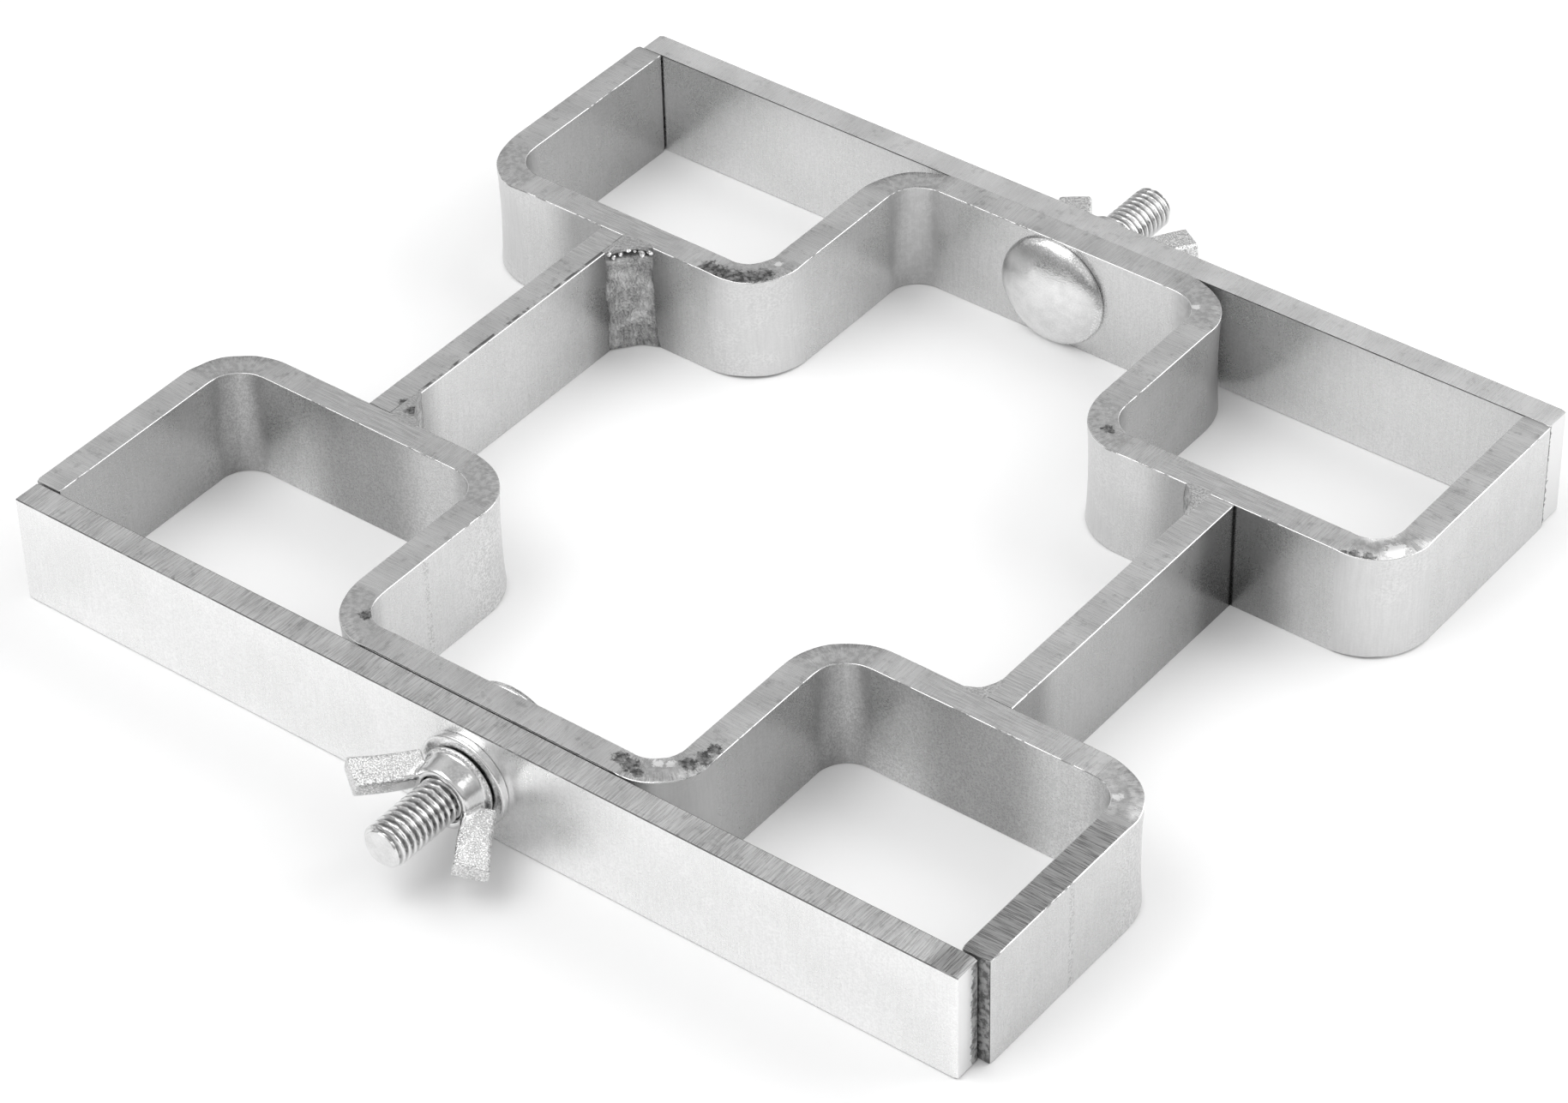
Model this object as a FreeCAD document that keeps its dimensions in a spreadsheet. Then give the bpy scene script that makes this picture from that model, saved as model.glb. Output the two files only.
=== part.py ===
"""Stage leg clamp: a welded bent-bar centre with four leg pockets.

Two straight clamp bars, each held by one bolt, washer and wing nut, close
the pockets. Millimetres. X runs along the clamp bars, the front bar lies at
-Y and the rear bar at +Y, Z points up, and the origin lies on the floor at
the centre of the clamp.
"""
import FreeCAD, Part
import math
import os

import Sketcher

Vector = FreeCAD.Vector
Rotation = FreeCAD.Rotation

doc = FreeCAD.newDocument("stage_leg_clamp")
sheet = doc.addObject("Spreadsheet::Sheet", "Sizes")


class Size:
    """A number together with the formula that ties it to the sheet."""

    def __init__(self, value, formula=None):
        self.value = float(value)
        self.formula = formula or repr(self.value)

    def __add__(self, other):
        other = as_size(other)
        return Size(self.value + other.value, "(" + self.formula + " + " + other.formula + ")")

    def __sub__(self, other):
        other = as_size(other)
        return Size(self.value - other.value, "(" + self.formula + " - " + other.formula + ")")

    def __mul__(self, other):
        other = as_size(other)
        return Size(self.value * other.value, "(" + self.formula + " * " + other.formula + ")")

    def __truediv__(self, other):
        other = as_size(other)
        return Size(self.value / other.value, "(" + self.formula + " / " + other.formula + ")")

    def __neg__(self):
        return Size(-self.value, "(0 - " + self.formula + ")")


def as_size(number):
    """Return a Size for a Size or a plain number."""
    return number if isinstance(number, Size) else Size(number)


def sine(angle):
    """Sine of an angle held in degrees."""
    return Size(math.sin(math.radians(angle.value)), "sin(" + angle.formula + ")")


def cosine(angle):
    """Cosine of an angle held in degrees."""
    return Size(math.cos(math.radians(angle.value)), "cos(" + angle.formula + ")")


def square_root(size):
    """Square root of a size."""
    return Size(math.sqrt(size.value), "sqrt(" + size.formula + ")")


sheet_rows = []


def driving(name, value):
    """Write one driving dimension into the sheet and return it."""
    sheet_rows.append(name)
    row = str(len(sheet_rows))
    sheet.set("A" + row, name)
    sheet.set("B" + row, str(value))
    sheet.setAlias("B" + row, name)
    return Size(value, "Sizes." + name)


ZERO = Size(0.0)

# Closest match of lengths that count as the same
SAME_LENGTH = 0.01

# Least share of an edge that has to run along a wing for it to be a long edge
ALONG_WING = 0.8

# Flat steel bar that every welded or clamping piece is cut from
stock_thickness = driving("stock_thickness", 6.35)
stock_width = driving("stock_width", 25.4)
stock_edge_break = driving("stock_edge_break", 0.4)

# Leg pockets, each closed by a clamp bar
pocket_width = driving("pocket_width", 65.2)
pocket_depth = driving("pocket_depth", 50.9)
bend_radius = driving("bend_radius", 7.0)
recess_width = driving("recess_width", 74.2)

# Webs that hold the two strips apart
web_length = driving("web_length", 73.96)
web_spacing = driving("web_spacing", 150.8)

# Small offsets of the hand-fitted front and rear sets along X
set_offset = driving("set_offset", 0.4)

# Clamp bars
front_bar_length = driving("front_bar_length", 227.2)
rear_bar_length = driving("rear_bar_length", 228.6)
clamp_bar_width = driving("clamp_bar_width", 24.9)
clamp_bar_lift = driving("clamp_bar_lift", 0.1)
front_bar_shift = driving("front_bar_shift", -1.0)
rear_bar_shift = driving("rear_bar_shift", 0.2)

# Three-eighths bolts with low domed heads and square necks
bolt_radius = driving("bolt_radius", 4.7625)
bolt_length = driving("bolt_length", 37.3)
bolt_point = driving("bolt_point", 0.95)
head_radius = driving("head_radius", 12.6)
head_height = driving("head_height", 5.0)
head_rim = driving("head_rim", 1.0)
head_crown = driving("head_crown", 3.0)
neck_depth = driving("neck_depth", 5.6)
neck_clearance = driving("neck_clearance", 0.1)
hole_clearance = driving("hole_clearance", 0.4)

# Flat washers
washer_radius = driving("washer_radius", 10.2)
washer_thickness = driving("washer_thickness", 1.8)
washer_edge_break = driving("washer_edge_break", 0.45)

# Wing nuts
nut_base_radius = driving("nut_base_radius", 8.24)
nut_top_radius = driving("nut_top_radius", 6.5)
nut_height = driving("nut_height", 6.2)
nut_base_edge = driving("nut_base_edge", 0.6)
nut_top_edge = driving("nut_top_edge", 0.5)
thread_clearance = driving("thread_clearance", 0.05)
wing_lean = driving("wing_lean", 57.0)
wing_reach = driving("wing_reach", 14.9)
wing_rise = driving("wing_rise", 14.6)
wing_width = driving("wing_width", 7.1)
wing_thickness = driving("wing_thickness", 3.7)
wing_edge_radius = driving("wing_edge_radius", 1.2)
wing_foot = driving("wing_foot", 2.5)
wing_heel_cut = driving("wing_heel_cut", 1.6)
wing_root_share = driving("wing_root_share", 0.7)
front_nut_turn = driving("front_nut_turn", -17.4)
rear_nut_turn = driving("rear_nut_turn", -4.0)

# Fillet welds: leg along the strip and leg along the web
weld_foot_gap = driving("weld_foot_gap", 0.3)
weld_face_share = driving("weld_face_share", 0.9)
front_left_weld_strip = driving("front_left_weld_strip", 7.0)
front_left_weld_web = driving("front_left_weld_web", 8.4)
front_right_weld_strip = driving("front_right_weld_strip", 5.2)
front_right_weld_web = driving("front_right_weld_web", 5.6)
rear_left_weld_strip = driving("rear_left_weld_strip", 7.6)
rear_left_weld_web = driving("rear_left_weld_web", 7.2)
rear_right_weld_strip = driving("rear_right_weld_strip", 5.8)
rear_right_weld_web = driving("rear_right_weld_web", 8.0)

doc.recompute()

# Places worked out from the driving dimensions
half_thickness = stock_thickness / 2
pocket_face = web_length / 2 + stock_thickness
strip_line = web_length / 2 + half_thickness
bar_face = pocket_face + pocket_depth
mid_line = bar_face - half_thickness
return_line = recess_width / 2 + half_thickness
leg_line = recess_width / 2 + stock_thickness + pocket_width + half_thickness
bend_line_radius = bend_radius + half_thickness
head_seat = bar_face - stock_thickness
bolt_height = stock_width / 2
bar_outer_face = bar_face + stock_thickness
nut_seat = bar_outer_face + washer_thickness
neck_side = bolt_radius * 2
hole_radius = bolt_radius + hole_clearance


class Run:
    """A straight run of an outline, upright at an X or level at a Y."""

    def __init__(self, upright, place):
        self.upright = upright
        self.place = place


def upright(place):
    """A run parallel to the sketch's vertical axis."""
    return Run(True, place)


def level(place):
    """A run parallel to the sketch's horizontal axis."""
    return Run(False, place)


def plane_of(body, role):
    """Find one of a body's own origin planes or axes."""
    return next(item for item in body.Origin.OriginFeatures if item.Role == role)


def sketch_on(body, name, role):
    """Start a sketch on one of the body's own origin planes."""
    sketch = body.newObject("Sketcher::SketchObject", name)
    sketch.AttachmentSupport = [(plane_of(body, role), "")]
    sketch.MapMode = "FlatFace"
    return sketch


def drive_constraint(sketch, parts, size):
    """Add a dimension to a sketch and bind it to the sheet."""
    index = sketch.addConstraint(Sketcher.Constraint(*parts, size.value))
    name = "size_" + str(index)
    sketch.renameConstraint(index, name)
    sketch.setExpression("Constraints." + name, size.formula)


def drive_offset(sketch, kind, item, point, place):
    """Hold a point at a signed distance from the sketch's origin."""
    if place.value > 0:
        drive_constraint(sketch, (kind, -1, 1, item, point), place)
    elif place.value < 0:
        drive_constraint(sketch, (kind, item, point, -1, 1), -place)
    else:
        axis = -2 if kind == "DistanceX" else -1
        sketch.addConstraint(Sketcher.Constraint("PointOnObject", item, point, axis))


def arc_between(start, end, centre, left_turn):
    """Make the arc from start to end about centre, always drawn anticlockwise."""
    first, last = (start, end) if left_turn else (end, start)
    circle = Part.Circle(centre, Vector(0, 0, 1), (start - centre).Length)
    return Part.ArcOfCircle(
        circle,
        math.atan2(first.y - centre.y, first.x - centre.x),
        math.atan2(last.y - centre.y, last.x - centre.x),
    )


def corner_of(first, second):
    """The point where an upright run meets a level one."""
    standing, lying = (first, second) if first.upright else (second, first)
    return Vector(standing.place.value, lying.place.value, 0)


def rounded_route(sketch, runs, radius, ends):
    """Draw an open route of runs at right angles, joined by equal tangent bends.

    ends holds where the route starts along its first run and where it stops
    along its last run.
    """
    last = len(runs) - 1
    corners = [corner_of(runs[i], runs[i + 1]) for i in range(last)]
    starts = [Vector(runs[0].place.value, ends[0].value, 0)] + corners
    finishes = corners + [Vector(runs[last].place.value, ends[1].value, 0)]
    heading = [(finish - start).normalize() for start, finish in zip(starts, finishes)]
    trim = radius.value
    for i, run in enumerate(runs):
        start = starts[i] + heading[i] * (trim if i > 0 else 0.0)
        finish = finishes[i] - heading[i] * (trim if i < last else 0.0)
        sketch.addGeometry(Part.LineSegment(start, finish), False)
        sketch.addConstraint(Sketcher.Constraint("Vertical" if run.upright else "Horizontal", i))
    first_bend = len(runs)
    for i, corner in enumerate(corners):
        start = corner - heading[i] * trim
        end = corner + heading[i + 1] * trim
        centre = start + heading[i + 1] * trim
        left_turn = heading[i].cross(heading[i + 1]).z > 0
        bend = sketch.addGeometry(arc_between(start, end, centre, left_turn), False)
        entry, leave = (1, 2) if left_turn else (2, 1)
        sketch.addConstraint(Sketcher.Constraint("Tangent", i, 2, bend, entry))
        sketch.addConstraint(Sketcher.Constraint("Tangent", bend, leave, i + 1, 1))
        if bend > first_bend:
            sketch.addConstraint(Sketcher.Constraint("Equal", first_bend, bend))
    drive_constraint(sketch, ("Radius", first_bend), radius)
    for i, run in enumerate(runs):
        drive_offset(sketch, "DistanceX" if run.upright else "DistanceY", i, 1, run.place)
    drive_offset(sketch, "DistanceY", 0, 1, ends[0])
    drive_offset(sketch, "DistanceY", last, 2, ends[1])


def outline(sketch, corners, round_sides=None):
    """Draw a closed outline through driven corners.

    round_sides maps a side's number to its radius and to whether the side
    turns left on its way to the next corner.
    """
    round_sides = round_sides or {}
    count = len(corners)
    points = [Vector(x.value, y.value, 0) for x, y in corners]
    first_points = []
    last_points = []
    for i in range(count):
        start, end = points[i], points[(i + 1) % count]
        if i not in round_sides:
            sketch.addGeometry(Part.LineSegment(start, end), False)
            first_points.append(1)
            last_points.append(2)
            continue
        radius, left_turn = round_sides[i]
        chord = end - start
        aside = Vector(-chord.y, chord.x, 0).normalize() * (1 if left_turn else -1)
        sagitta_leg = math.sqrt(radius.value ** 2 - (chord.Length / 2) ** 2)
        centre = start + chord / 2 + aside * sagitta_leg
        sketch.addGeometry(arc_between(start, end, centre, left_turn), False)
        first_points.append(1 if left_turn else 2)
        last_points.append(2 if left_turn else 1)
    for i in range(count):
        after = (i + 1) % count
        sketch.addConstraint(
            Sketcher.Constraint("Coincident", i, last_points[i], after, first_points[after])
        )
    for i, (x, y) in enumerate(corners):
        drive_offset(sketch, "DistanceX", i, first_points[i], x)
        drive_offset(sketch, "DistanceY", i, first_points[i], y)
    for i, (radius, left_turn) in round_sides.items():
        drive_constraint(sketch, ("Radius", i), radius)


def centred_square(sketch, height, side):
    """Draw a sharp square about the point at this height on the vertical axis."""
    half = side / 2
    outline(sketch, [
        (-half, height - half),
        (half, height - half),
        (half, height + half),
        (-half, height + half),
    ])


def driven_circle(sketch, x, y, radius):
    """Draw a circle whose centre and radius are driven."""
    item = sketch.addGeometry(Part.Circle(Vector(x.value, y.value, 0), Vector(0, 0, 1), radius.value), False)
    drive_offset(sketch, "DistanceX", item, 3, x)
    drive_offset(sketch, "DistanceY", item, 3, y)
    drive_constraint(sketch, ("Radius", item), radius)


def pad(body, sketch, name, length, both_ways=False):
    """Pad a sketch by a driven length."""
    feature = body.newObject("PartDesign::Pad", name)
    feature.Profile = sketch
    feature.setExpression("Length", length.formula)
    if both_ways:
        feature.Midplane = True
    sketch.Visibility = False
    return feature


def cut_through(body, sketch, name):
    """Cut a sketch through everything on both sides of its plane."""
    doc.recompute()
    before = body.Shape.Volume
    feature = body.newObject("PartDesign::Pocket", name)
    feature.Profile = sketch
    feature.Type = "ThroughAll"
    feature.Midplane = True
    doc.recompute()
    if not body.Shape.Volume < before:
        raise ValueError(name + " cuts nothing")
    return feature


def revolve(body, sketch, name):
    """Turn a half profile all the way about the body's Z axis."""
    feature = body.newObject("PartDesign::Revolution", name)
    feature.Profile = sketch
    feature.ReferenceAxis = (plane_of(body, "Z_Axis"), [""])
    feature.Angle = 360.0
    return feature


def new_body(name):
    """Start a sub-part whose label names its file."""
    body = doc.addObject("PartDesign::Body", name)
    body.Label = name
    return body


def place(body, x, y, z, rotation):
    """Put a body in the clamp's frame and bind where it stands."""
    body.Placement = FreeCAD.Placement(Vector(x.value, y.value, z.value), rotation)
    for axis, size in (("x", x), ("y", y), ("z", z)):
        body.setExpression("Placement.Base." + axis, size.formula)


class Side:
    """The front or the rear half of the clamp."""

    def __init__(self, name, outward, offset, bar_length, bar_shift, nut_turn):
        self.name = name
        self.outward = outward
        self.offset = offset
        self.bar_length = bar_length
        self.bar_shift = bar_shift
        self.nut_turn = nut_turn
        self.half_turn = Rotation(Vector(0, 0, 1), 0.0 if outward < 0 else 180.0)
        self.along_bolt = Rotation(Vector(1, 0, 0), -90.0 * outward)

    def out(self, distance):
        """A Y place at this distance from the clamp's centre."""
        return -distance if self.outward < 0 else distance


front = Side("front", -1, -set_offset, front_bar_length, front_bar_shift, front_nut_turn)
rear = Side("rear", 1, set_offset, rear_bar_length, rear_bar_shift, rear_nut_turn)


def stock_section(body, name, role, centre, width, lift):
    """Sketch the flat bar's cross-section, whose four arrises are lightly broken."""
    section = sketch_on(body, name, role)
    left, right = centre - half_thickness, centre + half_thickness
    low, high = lift, lift + width
    cut = stock_edge_break
    outline(section, [
        (left + cut, low),
        (right - cut, low),
        (right, low + cut),
        (right, high - cut),
        (right - cut, high),
        (left + cut, high),
        (left, high - cut),
        (left, low + cut),
    ])
    return section


def make_strip(side):
    """One flat bar on edge, bent six times into two pockets and a recess."""
    body = new_body(side.name + "_strip")
    path = sketch_on(body, side.name + "_strip_path", "XY_Plane")
    rounded_route(
        path,
        [
            upright(-leg_line),
            level(-strip_line),
            upright(-return_line),
            level(-mid_line),
            upright(return_line),
            level(-strip_line),
            upright(leg_line),
        ],
        bend_line_radius,
        ends=(-bar_face, -bar_face),
    )
    section = stock_section(body, side.name + "_strip_section", "XZ_Plane", -leg_line, stock_width, ZERO)
    section.setExpression("AttachmentOffset.Base.z", bar_face.formula)
    doc.recompute()
    sweep = body.newObject("PartDesign::AdditivePipe", side.name + "_strip_bends")
    sweep.Profile = section
    sweep.Spine = path
    doc.recompute()
    hole = sketch_on(body, side.name + "_strip_hole", "XZ_Plane")
    centred_square(hole, bolt_height, neck_side + neck_clearance * 2)
    cut_through(body, hole, side.name + "_strip_bolt_hole")
    place(body, side.offset, ZERO, ZERO, side.half_turn)
    return body


def make_web(name, x):
    """A straight length of flat bar between the two strips."""
    body = new_body(name)
    section = stock_section(body, name + "_section", "XZ_Plane", ZERO, stock_width, ZERO)
    pad(body, section, name + "_length", web_length, both_ways=True)
    place(body, x, ZERO, ZERO, Rotation())
    return body


def make_weld(name, strip_leg, web_leg, x_sign, y_sign):
    """A fillet weld, ground flush on top, in a corner between web and strip."""
    body = new_body(name)
    bead = sketch_on(body, name + "_bead", "XY_Plane")
    # Where the two signs differ, the corner is a quarter turn on, and the legs change axes
    x_leg, y_leg = (strip_leg, web_leg) if x_sign == y_sign else (web_leg, strip_leg)
    # The bead bulges a little, as an arc much larger than its legs
    face_radius = (strip_leg + web_leg) * weld_face_share
    outline(
        bead,
        [
            (ZERO, ZERO),
            (x_leg, ZERO),
            (ZERO, y_leg),
        ],
        {1: (face_radius, True)},
    )
    pad(body, bead, name + "_run", stock_width - weld_foot_gap)
    x = (web_spacing / 2 - half_thickness) * x_sign
    y = web_length / 2 * y_sign
    corner_turns = {(-1, -1): 0.0, (1, -1): 90.0, (1, 1): 180.0, (-1, 1): 270.0}
    place(body, x, y, weld_foot_gap, Rotation(Vector(0, 0, 1), corner_turns[(x_sign, y_sign)]))
    return body


def make_clamp_bar(side):
    """A straight bar with one hole, sheared to length, that closes two pockets."""
    body = new_body(side.name + "_bar")
    bar_line = bar_face + half_thickness
    section_name = side.name + "_bar_section"
    section = stock_section(body, section_name, "YZ_Plane", -bar_line, clamp_bar_width, clamp_bar_lift)
    pad(body, section, side.name + "_bar_length", side.bar_length, both_ways=True)
    hole = sketch_on(body, side.name + "_bar_hole", "XZ_Plane")
    # A half turn puts the rear bar's own X the other way round
    hole_place = side.bar_shift * side.outward
    driven_circle(hole, hole_place, bolt_height, hole_radius)
    cut_through(body, hole, side.name + "_bar_bolt_hole")
    place(body, side.offset + side.bar_shift, ZERO, ZERO, side.half_turn)
    return body


def make_bolt(side):
    """A low domed head, a square neck and a shank with a chamfered point."""
    body = new_body(side.name + "_bolt")
    profile = sketch_on(body, side.name + "_bolt_profile", "XZ_Plane")
    dome_rise = head_height - head_rim
    crown_square = head_crown * head_crown
    # Height over the crown of the dome's centre, which lies on the bolt's axis
    centre_height = (head_radius * head_radius + dome_rise * dome_rise - crown_square) / (dome_rise * 2)
    dome_radius = square_root(centre_height * centre_height + crown_square)
    outline(
        profile,
        [
            (ZERO, -head_height),
            (head_crown, -head_height),
            (head_radius, -head_rim),
            (head_radius, ZERO),
            (bolt_radius, ZERO),
            (bolt_radius, bolt_length - bolt_point),
            (bolt_radius - bolt_point, bolt_length),
            (ZERO, bolt_length),
        ],
        {1: (dome_radius, True)},
    )
    revolve(body, profile, side.name + "_bolt_turned")
    neck = sketch_on(body, side.name + "_bolt_neck", "XY_Plane")
    centred_square(neck, ZERO, neck_side)
    pad(body, neck, side.name + "_bolt_neck_pad", neck_depth)
    place(body, side.offset, side.out(head_seat), bolt_height, side.along_bolt)
    return body


def make_washer(side):
    """A punched flat washer whose outer edge is broken on the nut's side."""
    body = new_body(side.name + "_washer")
    ring = sketch_on(body, side.name + "_washer_ring", "XY_Plane")
    driven_circle(ring, ZERO, ZERO, washer_radius)
    driven_circle(ring, ZERO, ZERO, hole_radius)
    disc = pad(body, ring, side.name + "_washer_disc", washer_thickness)
    doc.recompute()
    rims = [
        "Edge" + str(number)
        for number, edge in enumerate(disc.Shape.Edges, 1)
        if isinstance(edge.Curve, Part.Circle)
        and abs(edge.Curve.Radius - washer_radius.value) < SAME_LENGTH
        and abs(edge.Curve.Center.z - washer_thickness.value) < SAME_LENGTH
    ]
    broken = body.newObject("PartDesign::Chamfer", side.name + "_washer_edge")
    broken.Base = (disc, rims)
    broken.setExpression("Size", washer_edge_break.formula)
    place(body, side.offset, side.out(bar_outer_face), bolt_height, side.along_bolt)
    return body


def wing_corners():
    """Corners of both wings' outline in the plane that holds the bolt's axis.

    Each wing is a slab that leans away from the axis. Its tip is sheared
    square across, and a bevelled heel brings it to the foot of the hub.
    """
    along_x, along_y = cosine(wing_lean), sine(wing_lean)
    half = wing_width / 2
    inner_tip = (wing_reach - along_y * half, wing_rise + along_x * half)
    outer_tip = (wing_reach + along_y * half, wing_rise - along_x * half)
    slope = along_x / along_y
    root_height = nut_height * wing_root_share
    inner_root = (inner_tip[0] - (inner_tip[1] - root_height) * slope, root_height)
    heel_point = (outer_tip[0] - (outer_tip[1] - wing_foot) * slope, wing_foot)
    heel_low = (heel_point[0] - wing_heel_cut, wing_foot)
    heel_high = (heel_point[0] + wing_heel_cut * along_x, wing_foot + wing_heel_cut * along_y)
    right = [heel_low, heel_high, outer_tip, inner_tip, inner_root]
    left = [(-x, y) for x, y in reversed(right)]
    return right + left


def long_wing_edges(shape):
    """Names of the edges that run along both broad faces of the wings."""
    lean = math.radians(wing_lean.value)
    names = []
    for number, edge in enumerate(shape.Edges, 1):
        first, last = edge.firstVertex().Point, edge.lastVertex().Point
        if abs(first.y - last.y) > SAME_LENGTH:
            continue
        chord = last - first
        along = (abs(chord.x) * math.cos(lean) + abs(chord.z) * math.sin(lean)) / chord.Length
        if along > ALONG_WING:
            names.append("Edge" + str(number))
    return names


def make_wing_nut(side):
    """A forged nut: two slab wings with rounded long edges through a turned hub."""
    name = side.name + "_wing_nut"
    body = new_body(name)
    wings = sketch_on(body, name + "_wing_outline", "XZ_Plane")
    outline(wings, wing_corners())
    slab = pad(body, wings, name + "_wings", wing_thickness, both_ways=True)
    doc.recompute()
    rounded = body.newObject("PartDesign::Fillet", name + "_wing_edges")
    rounded.Base = (slab, long_wing_edges(slab.Shape))
    rounded.setExpression("Radius", wing_edge_radius.formula)
    doc.recompute()
    profile = sketch_on(body, name + "_hub_profile", "XZ_Plane")
    outline(profile, [
        (ZERO, ZERO),
        (nut_base_radius - nut_base_edge, ZERO),
        (nut_base_radius, nut_base_edge),
        (nut_top_radius, nut_height - nut_top_edge),
        (nut_top_radius - nut_top_edge, nut_height),
        (ZERO, nut_height),
    ])
    revolve(body, profile, name + "_hub")
    bore = sketch_on(body, name + "_bore", "XY_Plane")
    driven_circle(bore, ZERO, ZERO, bolt_radius + thread_clearance)
    cut_through(body, bore, name + "_threaded_bore")
    spin = side.along_bolt.multiply(Rotation(Vector(0, 0, 1), side.nut_turn.value))
    place(body, side.offset, side.out(nut_seat), bolt_height, spin)
    return body


def make_parts():
    """Build every sub-part of the clamp."""
    bodies = [
        make_web("left_web", -web_spacing / 2),
        make_web("right_web", web_spacing / 2),
        make_weld("front_left_weld", front_left_weld_strip, front_left_weld_web, -1, -1),
        make_weld("front_right_weld", front_right_weld_strip, front_right_weld_web, 1, -1),
        make_weld("rear_left_weld", rear_left_weld_strip, rear_left_weld_web, -1, 1),
        make_weld("rear_right_weld", rear_right_weld_strip, rear_right_weld_web, 1, 1),
    ]
    for side in (front, rear):
        bodies.append(make_strip(side))
        bodies.append(make_clamp_bar(side))
        bodies.append(make_bolt(side))
        bodies.append(make_washer(side))
        bodies.append(make_wing_nut(side))
    return bodies


def check_document():
    """Stop if any object of the document failed to rebuild."""
    for item in doc.Objects:
        if "Invalid" in item.State or "Error" in item.State:
            raise ValueError(item.Name + " failed: " + str(item.State))


def write_parts(bodies):
    """Check each sub-part's solid and write it to a file of its own."""
    os.makedirs("parts", exist_ok=True)
    for body in bodies:
        shape = body.Shape
        if shape.isNull() or not shape.isValid():
            raise ValueError(body.Label + " has no valid shape")
        shape.exportStep("parts/" + body.Label + ".step")
        print("%-18s %d solid, volume %9.1f" % (body.Label, len(shape.Solids), shape.Volume))


parts = make_parts()
doc.recompute()
check_document()
write_parts(parts)
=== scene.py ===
"""Stage leg clamp: the looks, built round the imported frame.

Lengths are in metres. X runs along the clamp bars, the front bar lies at -Y
and the rear bar at +Y, and Z points up from the floor.
"""
import logging
import math
from dataclasses import dataclass, field
from enum import Enum

import bmesh
import bpy
from mathutils import Matrix, Vector, noise


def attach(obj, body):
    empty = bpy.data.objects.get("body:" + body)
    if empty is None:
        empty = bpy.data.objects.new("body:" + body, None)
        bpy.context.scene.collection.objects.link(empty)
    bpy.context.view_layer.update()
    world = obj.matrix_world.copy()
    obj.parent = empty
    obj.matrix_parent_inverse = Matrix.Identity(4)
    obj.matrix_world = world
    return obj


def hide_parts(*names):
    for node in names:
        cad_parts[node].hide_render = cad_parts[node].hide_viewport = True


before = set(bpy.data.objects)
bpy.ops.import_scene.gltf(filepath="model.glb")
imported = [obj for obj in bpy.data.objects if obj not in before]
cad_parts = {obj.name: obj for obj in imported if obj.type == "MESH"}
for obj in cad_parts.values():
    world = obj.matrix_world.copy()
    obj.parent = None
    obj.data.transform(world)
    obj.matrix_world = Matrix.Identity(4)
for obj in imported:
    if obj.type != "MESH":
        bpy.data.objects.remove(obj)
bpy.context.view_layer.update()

log = logging.getLogger("stage_leg_clamp")

MM = 0.001
FULL_TURN = 2 * math.pi
PHOTO_SIZE = (1829, 1287)


class End(Enum):
    """The two ends of the clamp, by the sign of their Y."""

    FRONT = -1
    REAR = 1

    @property
    def prefix(self) -> str:
        """Word that the end's nodes and bodies start with."""
        return self.name.lower()


class Slot(Enum):
    """Material slots of the record."""

    BAR = "bar_steel"
    WELD = "weld_steel"
    ZINC = "zinc"


@dataclass(frozen=True)
class ClampSizes:
    """Sizes and places that several pieces share, as the frame has them."""

    thickness: float = 6.35 * MM
    width: float = 25.4 * MM
    bend_radius: float = 7.0 * MM
    strip_line: float = 40.155 * MM
    mid_line: float = 91.055 * MM
    return_line: float = 40.275 * MM
    leg_line: float = 111.825 * MM
    bar_face: float = 94.23 * MM
    web_line: float = 75.4 * MM
    web_half: float = 36.98 * MM
    bolt_height: float = 12.7 * MM
    set_offset: float = 0.4 * MM

    @property
    def half_thickness(self) -> float:
        """Half the bar's thickness."""
        return self.thickness / 2

    def end_matrix(self, end: End) -> Matrix:
        """Turn a piece modelled at the front into its place at one end.

        Args:
            end: The end that the piece belongs to.

        Returns:
            A half turn for the rear end, with the end's small offset along X.
        """
        turn = 0.0 if end is End.FRONT else math.pi
        shift = Matrix.Translation((self.set_offset * end.value, 0, 0))
        return shift @ Matrix.Rotation(turn, 4, "Z")

    def bolt_matrix(self, end: End, distance: float, spin: float = 0.0) -> Matrix:
        """Place a piece whose own Z runs outwards along the bolt.

        Args:
            end: The end that the bolt belongs to.
            distance: How far from the clamp's centre the piece's foot lies.
            spin: Turn about the bolt's axis, in degrees.

        Returns:
            The matrix from the piece's own axes to the frame.
        """
        foot = Vector((self.set_offset * end.value, distance * end.value, self.bolt_height))
        along = Matrix.Rotation(math.radians(-90.0 * end.value), 4, "X")
        return Matrix.Translation(foot) @ along @ Matrix.Rotation(math.radians(spin), 4, "Z")


SIZES = ClampSizes()


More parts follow.
